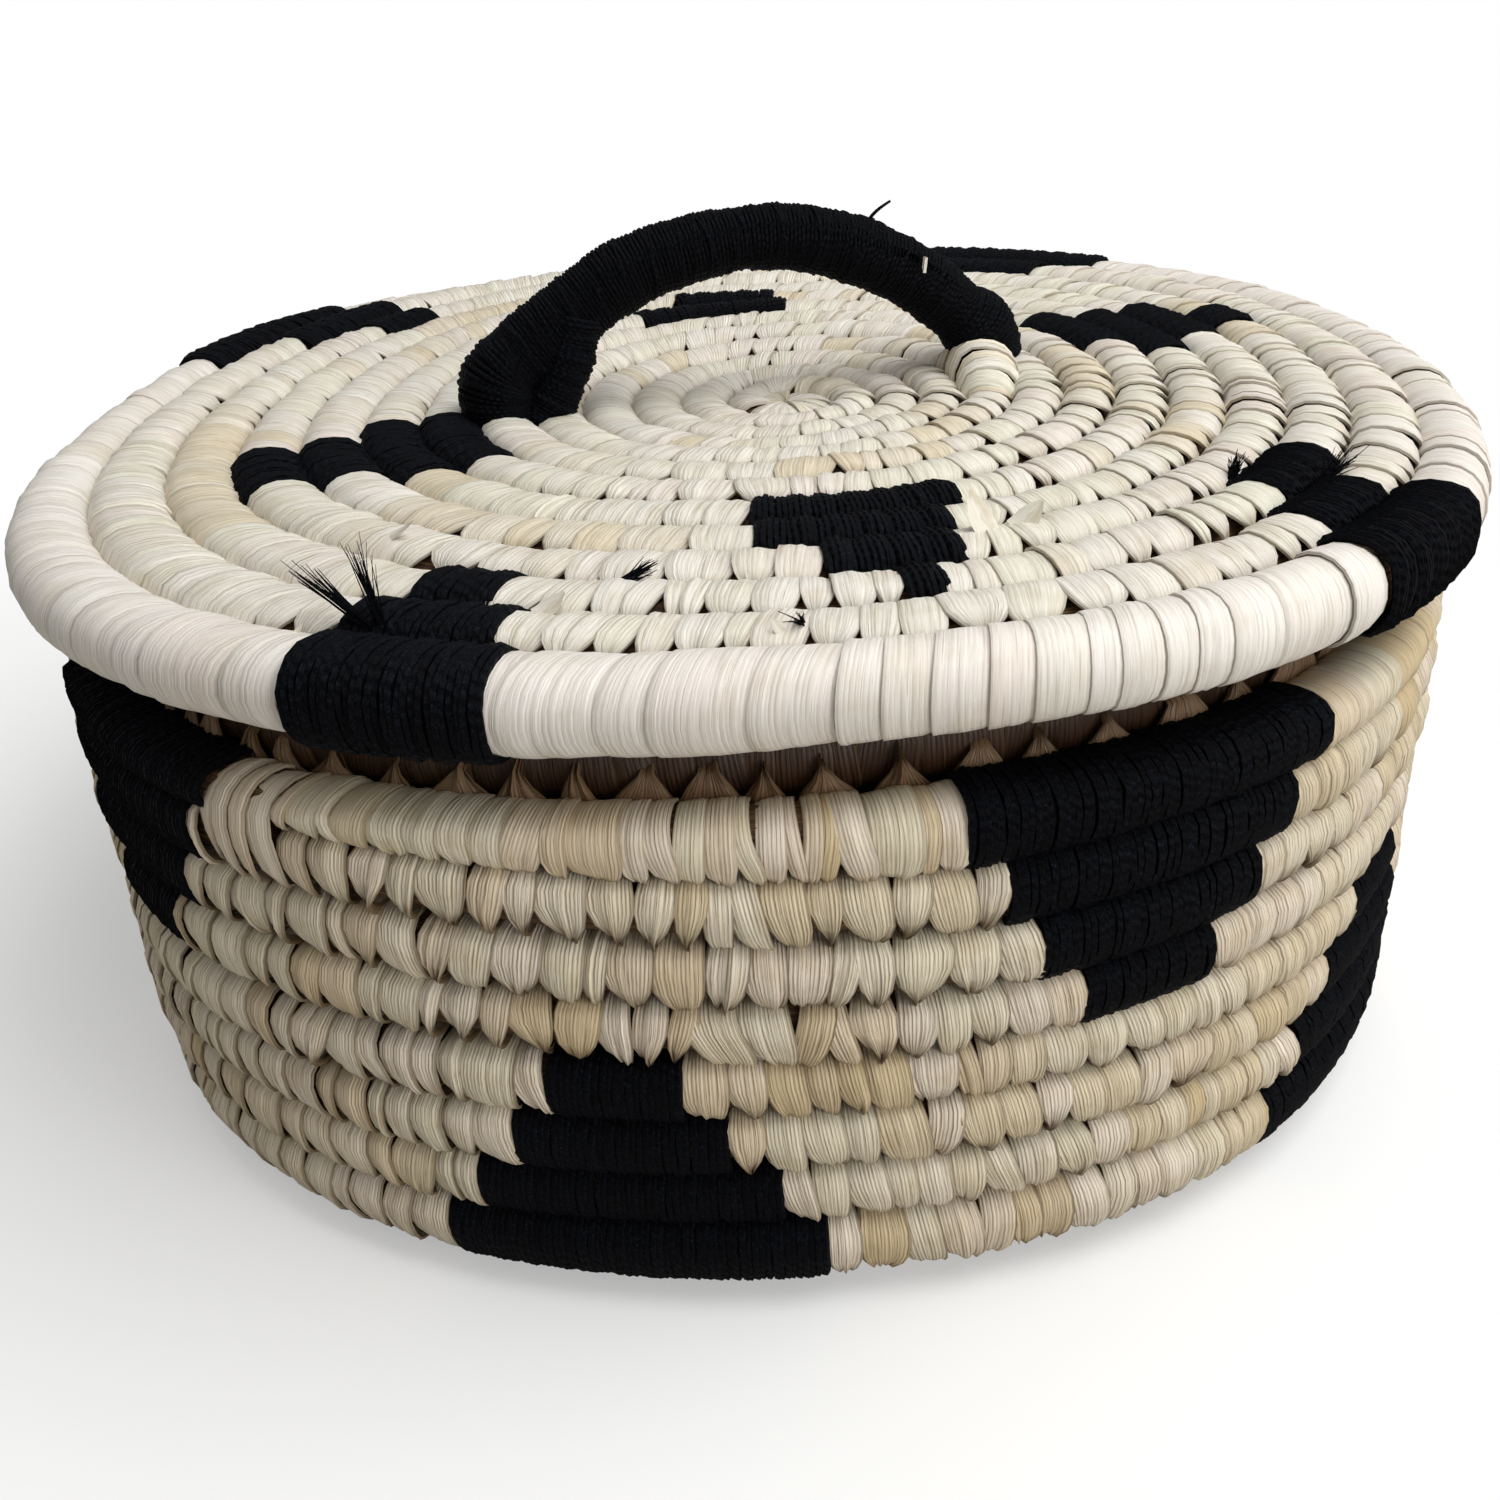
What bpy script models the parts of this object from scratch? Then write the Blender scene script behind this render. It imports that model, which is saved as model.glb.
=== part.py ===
"""Roti basket of coiled palm leaf with black yarn patches and a lift-off lid.

One long grass bundle, wrapped in leaf, winds outward as the flat base, turns up at a
rounded corner and climbs as the wall. A second bundle winds into the lid, a third hangs
under the lid as the ring that plugs the basket's mouth. Yarn patches lie on the rows,
and a yarn-wrapped grass handle arches over the lid's middle.
Metres, +Z up, the floor at zero, the viewer of the photograph on the -Y side.
"""
import bisect
import math

import bmesh
import bpy
from mathutils import Vector

MM = 0.001

# Basket coil: rows, wall and corner
BASKET_ROW_PITCH = 12.0 * MM
WALL_CENTRE_RADIUS = 142.0 * MM
BASE_EYE_RADIUS = 7.5 * MM
CORNER_RADIUS = 8.0 * MM
WALL_ROWS = 8
FRONT_TURN = -0.25
RIM_END_PAST_FRONT = 0.305

# Lid coil
LID_OVERHANG = 3.9 * MM
LID_ROW_PITCH = 13.0 * MM
LID_EYE_RADIUS = 8.5 * MM
LID_EYE_SHIFT = 9.6 * MM
LID_BACK_SHIFT = 1.35 * MM
LID_END_DEGREES = 100.0

# Ring under the lid
PLUG_ROW_PITCH = 12.0 * MM
PLUG_TURNS = 2
PLUG_SLIDE_CLEARANCE = 0.4 * MM

# Clearances and small sizes that all coils share
ROW_GAP = 0.65 * MM
SEAT_GAP = 0.3 * MM
OVERRUN = 6.0 * MM
REST_CUT_SHARE = 0.1
TAPER_TURNS = 0.14
TAPER_END_SHARE = 0.45
POINTS_PER_TURN = 24

# Yarn patches
PATCH_THICKNESS = 0.9 * MM
PATCH_CLEARANCE = 0.45 * MM
FLAT_ANGLE = math.radians(1.0)

# Handle
HANDLE_LEFT_FOOT_SHARES = (-0.317, -0.066)
HANDLE_RIGHT_FOOT_SHARES = (0.374, 0.098)
HANDLE_CREST_HEIGHT = 27.6 * MM
HANDLE_CREST_SHARE = 0.41
HANDLE_CORE_RADIUS = 4.6 * MM
HANDLE_YARN_THICKNESS = 2.4 * MM
HANDLE_CREST_REACH = 18.0 * MM
HANDLE_FOOT_REACH = 6.0 * MM
LEFT_LASHING_HEIGHT = 7.5 * MM
LEFT_LASHING_THICKNESS = 5.0 * MM
RIGHT_LASHING_HEIGHT = 5.5 * MM
RIGHT_LASHING_THICKNESS = 2.4 * MM
NECK_ABOVE_LASHING = 3.4 * MM
LASHING_SEGMENTS = 20

# Sections are hexagons, whose flats lie at this share of their corner radius
FLAT_SHARE = math.cos(math.pi / 6)
HEXAGON_TILT = math.pi / 6

LEAF_COLOUR = (0.72, 0.62, 0.42, 1.0)
YARN_COLOUR = (0.012, 0.013, 0.022, 1.0)
GRASS_COLOUR = (0.38, 0.27, 0.13, 1.0)

# Yarn patches: middle in degrees, then half widths in degrees, widest row first
HANGING_MIDDLES = (-137.6, -66.8, 5.2, 77.5, 149.5)
HANGING_HALF_WIDTHS = (12.2, 9.8, 7.6, 4.6)
STANDING_MIDDLES = (-100.2, -42.2, 38.0, 112.0, -174.0)
STANDING_HALF_WIDTHS = (12.7, 9.9, 6.8, 4.2)
# Past this share of a turn from the front the row below is the lowest one seen
ROW_BELOW_SHARE = 0.6
# Past this share the lowest row's ridge stands above the patch's lower edge
RIDGE_SHOWS_SHARE = 0.1
# Lid patches: the row counted in from the rim, then its two ends in degrees
LID_RIM_PATCHES = (
    ((0, -117.0, -105.5), (1, -118.0, -107.5), (2, -117.0, -110.5)),
    ((0, -55.0, -40.0), (1, -51.5, -42.0), (2, -46.5, -35.5)),
    ((0, 47.0, 70.0), (1, 52.0, 66.0)),
    ((0, 140.0, 163.0), (1, 137.0, 153.0), (2, 136.0, 145.0)),
)
LID_INNER_PATCHES = (
    ((3, -157.0, -144.5), (4, -157.5, -142.5), (5, -164.0, -138.0), (6, -153.5, -135.0)),
    ((2, -82.5, -79.5), (3, -87.0, -74.5), (4, -93.5, -73.0), (5, -95.5, -69.5)),
    ((2, 14.0, 20.5), (3, 11.0, 28.0), (4, 5.5, 29.0), (5, 12.0, 33.5)),
    ((4, 88.0, 106.0), (5, 86.0, 111.0)),
)


def hexagon_radius(room):
    """Corner radius of a hexagonal coil whose flats leave ROW_GAP in the given room."""
    return (room - ROW_GAP) / 2 / FLAT_SHARE


BASKET_COIL_RADIUS = hexagon_radius(BASKET_ROW_PITCH)
PLUG_COIL_RADIUS = hexagon_radius(PLUG_ROW_PITCH)
BASE_HEIGHT = BASKET_COIL_RADIUS * (1 - 2 * REST_CUT_SHARE)
CORNER_RUN_START = WALL_CENTRE_RADIUS - CORNER_RADIUS - BASE_EYE_RADIUS
CORNER_RUN = CORNER_RADIUS * math.pi / 2
LOWEST_ROW_RUN = CORNER_RUN_START + CORNER_RUN / 2
BASKET_START_TURN = FRONT_TURN - LOWEST_ROW_RUN / BASKET_ROW_PITCH
CORNER_TURN = BASKET_START_TURN + CORNER_RUN_START / BASKET_ROW_PITCH
WALL_START_TURN = (math.floor(CORNER_TURN * POINTS_PER_TURN) + 0.5) / POINTS_PER_TURN
RIM_FRONT_TURN = FRONT_TURN + WALL_ROWS - 1
BASKET_END_TURN = RIM_FRONT_TURN + RIM_END_PAST_FRONT

LID_END_TURN = -LID_END_DEGREES / 360
LID_RADIUS = WALL_CENTRE_RADIUS + BASKET_COIL_RADIUS + LID_OVERHANG
LID_END_RADIUS = LID_RADIUS + ROW_GAP / 2
LID_TURNS = (LID_END_RADIUS - LID_EYE_RADIUS) / LID_ROW_PITCH
LID_START_TURN = LID_END_TURN - LID_TURNS


def direction(angle):
    """Level unit vector at an angle from +X."""
    return Vector((math.cos(angle), math.sin(angle), 0.0))


def basket_run(turn):
    """Length along the basket's section profile at a turn of the coil."""
    return (turn - BASKET_START_TURN) * BASKET_ROW_PITCH


def basket_section(run):
    """Radius, height and lean of the basket's profile: base, rounded corner, wall."""
    if run <= CORNER_RUN_START:
        return BASE_EYE_RADIUS + run, BASE_HEIGHT, 0.0
    past = run - CORNER_RUN_START
    if past < CORNER_RUN:
        lean = past / CORNER_RADIUS
        radius = WALL_CENTRE_RADIUS - CORNER_RADIUS + CORNER_RADIUS * math.sin(lean)
        return radius, BASE_HEIGHT + CORNER_RADIUS * (1 - math.cos(lean)), lean
    return WALL_CENTRE_RADIUS, BASE_HEIGHT + CORNER_RADIUS + past - CORNER_RUN, math.pi / 2


def radius_beside(run_a, run_b):
    """Corner radius that two rows can have side by side, also where their flats don't face."""
    radius_a, height_a, lean_a = basket_section(run_a)
    radius_b, height_b, lean_b = basket_section(run_b)
    swing = abs(lean_a - lean_b) / 2
    reach_share = math.cos(HEXAGON_TILT - swing)
    room = math.hypot(radius_a - radius_b, height_a - height_b)
    return (room - ROW_GAP) / 2 / reach_share


def taper(turn, end_turn):
    """Share of full thickness: the bundle thins over its last stretch."""
    left = max(0.0, end_turn - turn)
    if left >= TAPER_TURNS:
        return 1.0
    return TAPER_END_SHARE + (1 - TAPER_END_SHARE) * left / TAPER_TURNS


def basket_coil(turn):
    """Centre, corner radius and tilt of the basket's coil at a turn."""
    run = basket_run(turn)
    full = min(radius_beside(run, run + BASKET_ROW_PITCH),
               radius_beside(run, run - BASKET_ROW_PITCH))
    share = taper(turn, BASKET_END_TURN)
    radius, height, lean = basket_section(run)
    sink = full * FLAT_SHARE * (1 - share)
    radius -= sink * math.cos(lean)
    height -= sink * math.sin(lean)
    centre = direction(math.tau * turn) * radius
    centre.z = height
    return centre, full * share, HEXAGON_TILT - lean


# The plug ring's top row flares out over the rim's inner shoulder, level with its top
PLUG_SLIDE_RADIUS = WALL_CENTRE_RADIUS - BASKET_COIL_RADIUS - PLUG_SLIDE_CLEARANCE - PLUG_COIL_RADIUS
PLUG_FLARE = BASKET_COIL_RADIUS / 2
RIM_TURN_AT_PLUG_END = float(math.floor(BASKET_END_TURN))
RIM_HEIGHT_AT_PLUG_END = basket_section(basket_run(RIM_TURN_AT_PLUG_END))[1]
PLUG_TOP_HEIGHT = RIM_HEIGHT_AT_PLUG_END + BASKET_COIL_RADIUS * FLAT_SHARE
LID_UNDERSIDE = PLUG_TOP_HEIGHT + PLUG_COIL_RADIUS * FLAT_SHARE + SEAT_GAP
# A spiral's outline lies off its own centre, and this one thins at the back: the two
# shifts together put the outline over the basket
LID_OUTER_CENTRE = direction(math.radians(LID_END_DEGREES - 90)) * (LID_ROW_PITCH / 4)
LID_OUTER_CENTRE.y += LID_BACK_SHIFT
LID_INNER_CENTRE = Vector((LID_EYE_SHIFT, 0.0, 0.0))
LID_DRIFT = (LID_OUTER_CENTRE - LID_INNER_CENTRE) / LID_TURNS
LID_THICKEST_RADIUS = hexagon_radius(LID_ROW_PITCH + LID_DRIFT.length)
LID_HEIGHT = LID_UNDERSIDE + LID_THICKEST_RADIUS
LID_TOP = LID_HEIGHT + LID_THICKEST_RADIUS


def lid_place(turn, rows_out, outward):
    """Point in the lid's middle plane, some rows and a distance outward of the coil's centre."""
    wound = turn + rows_out - LID_START_TURN
    middle = LID_INNER_CENTRE + LID_DRIFT * wound
    radius = LID_EYE_RADIUS + wound * LID_ROW_PITCH + outward
    place = middle + direction(-math.tau * turn) * radius
    place.z = LID_HEIGHT
    return place


def lid_row_radius(turn):
    """Corner radius of the lid's coil: the rows drift sideways, so it varies round the lid."""
    return hexagon_radius(LID_ROW_PITCH + LID_DRIFT.dot(direction(-math.tau * turn)))


def lid_coil(turn):
    """Centre, corner radius and tilt of the lid's coil at a turn."""
    full = lid_row_radius(turn)
    share = taper(turn, LID_END_TURN)
    sink = full * FLAT_SHARE * (1 - share)
    return lid_place(turn, 0.0, -sink), full * share, HEXAGON_TILT


def plug_coil(turn):
    """Centre, corner radius and tilt of the ring under the lid, its top end at turn 0."""
    flare = PLUG_FLARE * max(0.0, 1.0 + turn)
    centre = direction(math.tau * turn) * (PLUG_SLIDE_RADIUS + flare)
    centre.z = PLUG_TOP_HEIGHT + turn * PLUG_ROW_PITCH
    return centre, PLUG_COIL_RADIUS, 0.0


def turn_stops(first, last):
    """The two ends and every regular point of a loop between them."""
    stops = [first]
    step = math.floor(first * POINTS_PER_TURN) + 1
    while step / POINTS_PER_TURN < last:
        stops.append(step / POINTS_PER_TURN)
        step += 1
    if len(stops) > 1 and stops[1] - first < 0.3 / POINTS_PER_TURN:
        stops.pop(1)
    if len(stops) > 1 and last - stops[-1] < 0.3 / POINTS_PER_TURN:
        stops.pop()
    return stops + [last]


def least_coil_gap(place, stops):
    """Least gap between neighbouring rows, measured flat to flat at the coil's points."""
    first, last = stops[0], stops[-1]
    chord_share = math.cos(math.pi / POINTS_PER_TURN)
    gaps = []
    for turn in stops:
        if turn + 1 > last or turn < first:
            continue
        here, here_radius, _ = place(turn)
        there, there_radius, _ = place(turn + 1)
        room = (there - here).length * chord_share
        gaps.append(room - (here_radius + there_radius) * FLAT_SHARE)
    return min(gaps)


def new_collection(name):
    """Collection linked to the scene."""
    collection = bpy.data.collections.new(name)
    bpy.context.scene.collection.children.link(collection)
    return collection


def principled(name, colour, roughness):
    """Material with one Principled shader."""
    material = bpy.data.materials.new(name)
    material.use_nodes = True
    shader = material.node_tree.nodes["Principled BSDF"]
    shader.inputs["Base Color"].default_value = colour
    shader.inputs["Roughness"].default_value = roughness
    material.diffuse_color = colour
    return material


def leaf(name):
    """Dry palm leaf wrapping."""
    return principled(name + "_leaf", LEAF_COLOUR, 0.6)


def yarn(name):
    """Black wool yarn."""
    return principled(name + "_yarn", YARN_COLOUR, 0.9)


def grass(name):
    """Dry grass bundle."""
    return principled(name + "_grass", GRASS_COLOUR, 0.8)


def add_object(name, data, collection, material):
    """Object in a collection with its own material."""
    thing = bpy.data.objects.new(name, data)
    collection.objects.link(thing)
    data.materials.clear()
    data.materials.append(material)
    return thing


def tube_curve(name, spline_type, bevel_resolution):
    """Empty curve that is filled with one spline by its caller."""
    curve = bpy.data.curves.new(name, "CURVE")
    curve.dimensions = "3D"
    curve.twist_mode = "Z_UP"
    curve.bevel_depth = 1.0
    curve.bevel_resolution = bevel_resolution
    curve.use_fill_caps = True
    curve.render_resolution_u = 0
    return curve, curve.splines.new(spline_type)


def welded_mesh(thing):
    """Mesh of a curve object with its end caps welded on. The curve is removed."""
    graph = bpy.context.evaluated_depsgraph_get()
    mesh = bpy.data.meshes.new_from_object(thing.evaluated_get(graph))
    shell = bmesh.new()
    shell.from_mesh(mesh)
    bmesh.ops.remove_doubles(shell, verts=shell.verts, dist=SEAT_GAP / 100)
    shell.to_mesh(mesh)
    shell.free()
    bpy.data.objects.remove(thing)
    return mesh


def coil_mesh(name, place, stops):
    """One unbroken six-sided tube along a coil's points."""
    curve, spline = tube_curve(name, "POLY", 1)
    spline.points.add(len(stops) - 1)
    for point, turn in zip(spline.points, stops):
        _, radius, tilt = place(turn)
        point.co = (*on_facet(lambda stop: place(stop)[0], turn), 1.0)
        point.radius = radius
        point.tilt = tilt
    thing = bpy.data.objects.new(name, curve)
    bpy.context.scene.collection.objects.link(thing)
    print(name, "least gap between its rows, mm:", round(least_coil_gap(place, stops) / MM, 2))
    return welded_mesh(thing)


def add_coil(name, place, first, last, collection):
    """Leaf-wrapped coil between two turns."""
    mesh = coil_mesh(name, place, turn_stops(first, last))
    mesh.shade_smooth()
    mesh.set_sharp_from_angle(angle=math.radians(40))
    return add_object(name, mesh, collection, leaf(name))


def cut_with(thing, cutter):
    """EXACT Boolean cut, left on the object."""
    cut = thing.modifiers.new("cut_" + cutter.name, "BOOLEAN")
    cut.operation = "DIFFERENCE"
    cut.object = cutter
    cutter.hide_render = True
    cutter.display_type = "WIRE"


def floor_cutter(cutters):
    """Block below the floor, which cuts the coil flat where the basket rests."""
    side = 2 * (WALL_CENTRE_RADIUS + BASKET_COIL_RADIUS + OVERRUN)
    depth = BASKET_COIL_RADIUS + OVERRUN
    block = bmesh.new()
    bmesh.ops.create_cube(block, size=side)
    bmesh.ops.scale(block, vec=(1.0, 1.0, depth / side), verts=block.verts)
    bmesh.ops.translate(block, vec=(0, 0, -depth / 2), verts=block.verts)
    mesh = bpy.data.meshes.new("floor_cutter")
    block.to_mesh(mesh)
    block.free()
    cutter = bpy.data.objects.new("floor_cutter", mesh)
    cutters.objects.link(cutter)
    return cutter


def build_basket(collection, cutters):
    """Base and wall, two stretches of the one coil, cut flat at the floor."""
    cutter = floor_cutter(cutters)
    joint_share = SEAT_GAP / (math.tau * (WALL_CENTRE_RADIUS - CORNER_RADIUS))
    base_end = WALL_START_TURN - joint_share
    base = add_coil("base_coil", basket_coil, BASKET_START_TURN, base_end, collection)
    cut_with(base, cutter)
    wall = add_coil("wall_coil", basket_coil, WALL_START_TURN, BASKET_END_TURN, collection)
    cut_with(wall, cutter)


def build_lid(collection):
    """Lid disc and the ring that hangs under it."""
    add_coil("lid_coil", lid_coil, LID_START_TURN, LID_END_TURN, collection)
    add_coil("lid_plug_coil", plug_coil, -PLUG_TURNS, 0.0, collection)


def on_facet(surface, turn):
    """Point of a surface at a turn, on the chord between the coil's regular points."""
    before = math.floor(turn * POINTS_PER_TURN)
    share = turn * POINTS_PER_TURN - before
    first = surface(before / POINTS_PER_TURN)
    return first.lerp(surface((before + 1) / POINTS_PER_TURN), share)


def patch_sheet(strips):
    """Stepped open sheet. A strip is its two ends in turns and its two edge surfaces.

    Neighbouring strips share an edge surface, and all ends become columns of the sheet.
    """
    columns = sorted({end for strip in strips for end in strip[:2]})
    columns = sorted(set(columns) | set(turn_stops(columns[0], columns[-1])))
    sheet = bmesh.new()
    corners = {}

    def corner(surface, turn):
        key = (surface, turn)
        if key not in corners:
            corners[key] = sheet.verts.new(on_facet(surface, turn))
        return corners[key]

    for first, last, upper, lower in strips:
        inside = columns[bisect.bisect_left(columns, first):bisect.bisect_right(columns, last)]
        for start, end in zip(inside, inside[1:]):
            sheet.faces.new((corner(lower, start), corner(lower, end),
                             corner(upper, end), corner(upper, start)))
    bmesh.ops.dissolve_limit(sheet, angle_limit=FLAT_ANGLE, verts=sheet.verts, edges=sheet.edges)
    return sheet


def add_patch(name, strips, middle, collection):
    """Yarn patch: a stepped sheet thickened up and outward from the coil it lies on."""
    sheet = patch_sheet(strips)
    sheet.normal_update()
    faces = list(sheet.faces)
    outward = direction(math.radians(middle)) + Vector((0.0, 0.0, 1.0))
    if faces[0].normal.dot(outward) < 0:
        bmesh.ops.reverse_faces(sheet, faces=faces)
    mesh = bpy.data.meshes.new(name)
    sheet.to_mesh(mesh)
    sheet.free()
    thing = add_object(name, mesh, collection, yarn(name))
    thick = thing.modifiers.new("thickness", "SOLIDIFY")
    thick.thickness = PATCH_THICKNESS
    thick.offset = 1.0
    thick.use_even_offset = True
    return thing


def wall_surface(rows_up):
    """Surface just outside the wall, a number of rows up from a turn, never under the basket."""
    def place(turn):
        run = max(basket_run(turn + rows_up), LOWEST_ROW_RUN)
        radius, height, lean = basket_section(run)
        out = (BASKET_COIL_RADIUS + PATCH_CLEARANCE) / math.cos(math.pi / POINTS_PER_TURN)
        point = direction(math.tau * turn) * (radius + out * math.sin(lean))
        point.z = height - out * math.cos(lean)
        return point
    return place


def rim_surface(inward, rise):
    """Surface on top of the basket's rim, above the coil's centre at a turn."""
    def place(turn):
        radius, height, _ = basket_section(basket_run(turn))
        point = direction(math.tau * turn) * (radius - inward)
        point.z = height + rise
        return point
    return place


def row_span(middle, half_width):
    """Ends of a row in turns counted from +X."""
    return (middle - half_width) / 360, (middle + half_width) / 360


def add_hanging_patch(number, middle, collection):
    """Patch that hangs from the rim and folds over its top."""
    top_turn = BASKET_END_TURN - (BASKET_END_TURN - middle / 360) % 1.0
    shift = top_turn - middle / 360
    reach = BASKET_COIL_RADIUS + PATCH_CLEARANCE
    crest = rim_surface(BASKET_COIL_RADIUS / 2, BASKET_COIL_RADIUS * FLAT_SHARE + PATCH_CLEARANCE)
    shoulder = rim_surface(-reach / math.cos(math.pi / POINTS_PER_TURN),
                           BASKET_COIL_RADIUS * FLAT_SHARE + PATCH_CLEARANCE)
    edges = [shoulder] + [wall_surface(-row - 0.5) for row in range(len(HANGING_HALF_WIDTHS))]
    first, last = row_span(middle, HANGING_HALF_WIDTHS[0])
    strips = [(first + shift, last + shift, crest, shoulder)]
    for row, half_width in enumerate(HANGING_HALF_WIDTHS):
        first, last = row_span(middle, half_width)
        strips.append((first + shift, last + shift, edges[row], edges[row + 1]))
    add_patch("wall_hanging_patch_%d" % number, strips, middle, collection)


def add_standing_patch(number, middle, collection):
    """Patch that stands on the floor row and narrows upward."""
    past_front = (middle / 360 - FRONT_TURN) % 1.0
    if past_front > ROW_BELOW_SHARE:
        past_front -= 1.0
    shift = FRONT_TURN + past_front - middle / 360
    edges = [wall_surface(row - 0.5) for row in range(len(STANDING_HALF_WIDTHS) + 1)]
    ridge = wall_surface(0.0)
    strips = []
    for row, half_width in enumerate(STANDING_HALF_WIDTHS):
        first, last = row_span(middle, half_width)
        if row == 0 and past_front > RIDGE_SHOWS_SHARE:
            strips.append((first + shift, last + shift, edges[1], ridge))
            strips.append((first + shift, last + shift, ridge, edges[0]))
        else:
            strips.append((first + shift, last + shift, edges[row + 1], edges[row]))
    add_patch("wall_standing_patch_%d" % number, strips, middle, collection)


def lid_surface(rows_in, outward_share, rise_share):
    """Surface round the lid's coil, as shares of its section just outside the coil."""
    def place(turn):
        reach = lid_row_radius(turn) + PATCH_CLEARANCE
        point = lid_place(turn, -rows_in, outward_share * reach)
        point.z = LID_HEIGHT + rise_share * reach
        return point
    return place


def lid_boundary(rows_in):
    """Line on the lid's top half way between two rows."""
    return lid_surface(rows_in, 0.0, 1.0)


def add_lid_patch(name, rows, collection):
    """Patch on the lid's top. On the rim row it folds down over the edge."""
    middle = (rows[0][1] + rows[0][2]) / 2
    base_turn = LID_END_TURN - (LID_END_TURN + middle / 360) % 1.0
    shift = base_turn + middle / 360
    boundaries = {}
    strips = []
    for row, start, end in rows:
        last = shift - start / 360
        first = shift - end / 360
        for edge in (row - 0.5, row + 0.5):
            boundaries.setdefault(edge, lid_boundary(edge))
        if row == 0:
            ridge = lid_boundary(0)
            shoulder = lid_surface(0, FLAT_SHARE, 0.5)
            hem = lid_surface(0, FLAT_SHARE, -0.5)
            strips.append((first, last, boundaries[row + 0.5], ridge))
            strips.append((first, last, ridge, shoulder))
            strips.append((first, last, shoulder, hem))
        else:
            strips.append((first, last, boundaries[row + 0.5], boundaries[row - 0.5]))
    add_patch(name, strips, middle, collection)


def build_patches(collection):
    """All yarn patches of the wall and the lid."""
    for number, middle in enumerate(HANGING_MIDDLES, 1):
        add_hanging_patch(number, middle, collection)
    for number, middle in enumerate(STANDING_MIDDLES, 1):
        add_standing_patch(number, middle, collection)
    for number, rows in enumerate(LID_RIM_PATCHES, 1):
        add_lid_patch("lid_rim_patch_%d" % number, rows, collection)
    for number, rows in enumerate(LID_INNER_PATCHES, 1):
        add_lid_patch("lid_inner_patch_%d" % number, rows, collection)


def lid_spot(shares):
    """Spot on top of the lid's rows, its two places given as shares of the lid's radius."""
    return Vector((shares[0] * LID_RADIUS, shares[1] * LID_RADIUS, LID_TOP + SEAT_GAP))


def handle_tube(name, radius, overrun):
    """Round arch from foot to foot, straight and upright at both ends."""
    curve, spline = tube_curve(name, "BEZIER", 2)
    curve.bevel_depth = radius
    curve.resolution_u = 7
    spline.bezier_points.add(4)
    left = lid_spot(HANDLE_LEFT_FOOT_SHARES)
    right = lid_spot(HANDLE_RIGHT_FOOT_SHARES)
    up = Vector((0.0, 0.0, 1.0))
    along = (right - left).normalized()
    crest = left.lerp(right, HANDLE_CREST_SHARE) + up * HANDLE_CREST_HEIGHT
    left_neck = left + up * (LEFT_LASHING_HEIGHT + NECK_ABOVE_LASHING)
    right_neck = right + up * (RIGHT_LASHING_HEIGHT + NECK_ABOVE_LASHING)
    stops = (
        (left - up * overrun, left, left),
        (left_neck, left, left_neck + up * HANDLE_FOOT_REACH),
        (crest, crest - along * HANDLE_CREST_REACH, crest + along * HANDLE_CREST_REACH),
        (right_neck, right_neck + up * HANDLE_FOOT_REACH, right),
        (right - up * overrun, right, right),
    )
    for point, (place, before, after) in zip(spline.bezier_points, stops):
        point.co = place
        point.handle_left_type = "FREE"
        point.handle_right_type = "FREE"
        point.handle_left = before
        point.handle_right = after
    thing = bpy.data.objects.new(name, curve)
    bpy.context.scene.collection.objects.link(thing)
    return welded_mesh(thing)


def lashing_ring(name, foot_shares, height, thickness, collection):
    """Yarn wound round a foot of the handle: a turned ring with rounded shoulders."""
    inner = HANDLE_CORE_RADIUS + SEAT_GAP + HANDLE_YARN_THICKNESS + SEAT_GAP
    outer = inner + thickness
    shoulder = thickness / 2
    outline = ((inner, height), (outer - shoulder, height), (outer, height - shoulder),
               (outer, shoulder), (outer - shoulder, 0.0), (inner, 0.0), (inner, height))
    mesh = bpy.data.meshes.new(name)
    profile = bmesh.new()
    corners = [profile.verts.new((radius, 0.0, rise)) for radius, rise in outline[:-1]]
    for first, second in zip(corners, corners[1:] + corners[:1]):
        profile.edges.new((first, second))
    profile.to_mesh(mesh)
    profile.free()
    thing = add_object(name, mesh, collection, yarn(name))
    thing.location = lid_spot(foot_shares)
    turned = thing.modifiers.new("turned", "SCREW")
    turned.steps = LASHING_SEGMENTS
    turned.render_steps = LASHING_SEGMENTS
    turned.merge_threshold = SEAT_GAP / 10
    turned.use_merge_vertices = True
    turned.use_normal_calculate = True
    return thing


def build_handle(collection, cutters):
    """Grass core, the yarn wound round it, and the lashings at its two feet."""
    core_mesh = handle_tube("handle_core", HANDLE_CORE_RADIUS, 0.0)
    core_mesh.shade_smooth()
    add_object("handle_core", core_mesh, collection, grass("handle_core"))
    bore_radius = HANDLE_CORE_RADIUS + SEAT_GAP
    wrap_mesh = handle_tube("handle_yarn_wrap", bore_radius + HANDLE_YARN_THICKNESS, 0.0)
    wrap = add_object("handle_yarn_wrap", wrap_mesh, collection, yarn("handle_yarn_wrap"))
    bore_mesh = handle_tube("handle_bore_cutter", bore_radius, OVERRUN)
    bore = bpy.data.objects.new("handle_bore_cutter", bore_mesh)
    cutters.objects.link(bore)
    cut_with(wrap, bore)
    lashing_ring("handle_lashing_left", HANDLE_LEFT_FOOT_SHARES, LEFT_LASHING_HEIGHT,
                 LEFT_LASHING_THICKNESS, collection)
    lashing_ring("handle_lashing_right", HANDLE_RIGHT_FOOT_SHARES, RIGHT_LASHING_HEIGHT,
                 RIGHT_LASHING_THICKNESS, collection)


def clear_scene():
    """Remove whatever the scene holds."""
    for thing in list(bpy.data.objects):
        bpy.data.objects.remove(thing, do_unlink=True)


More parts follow.
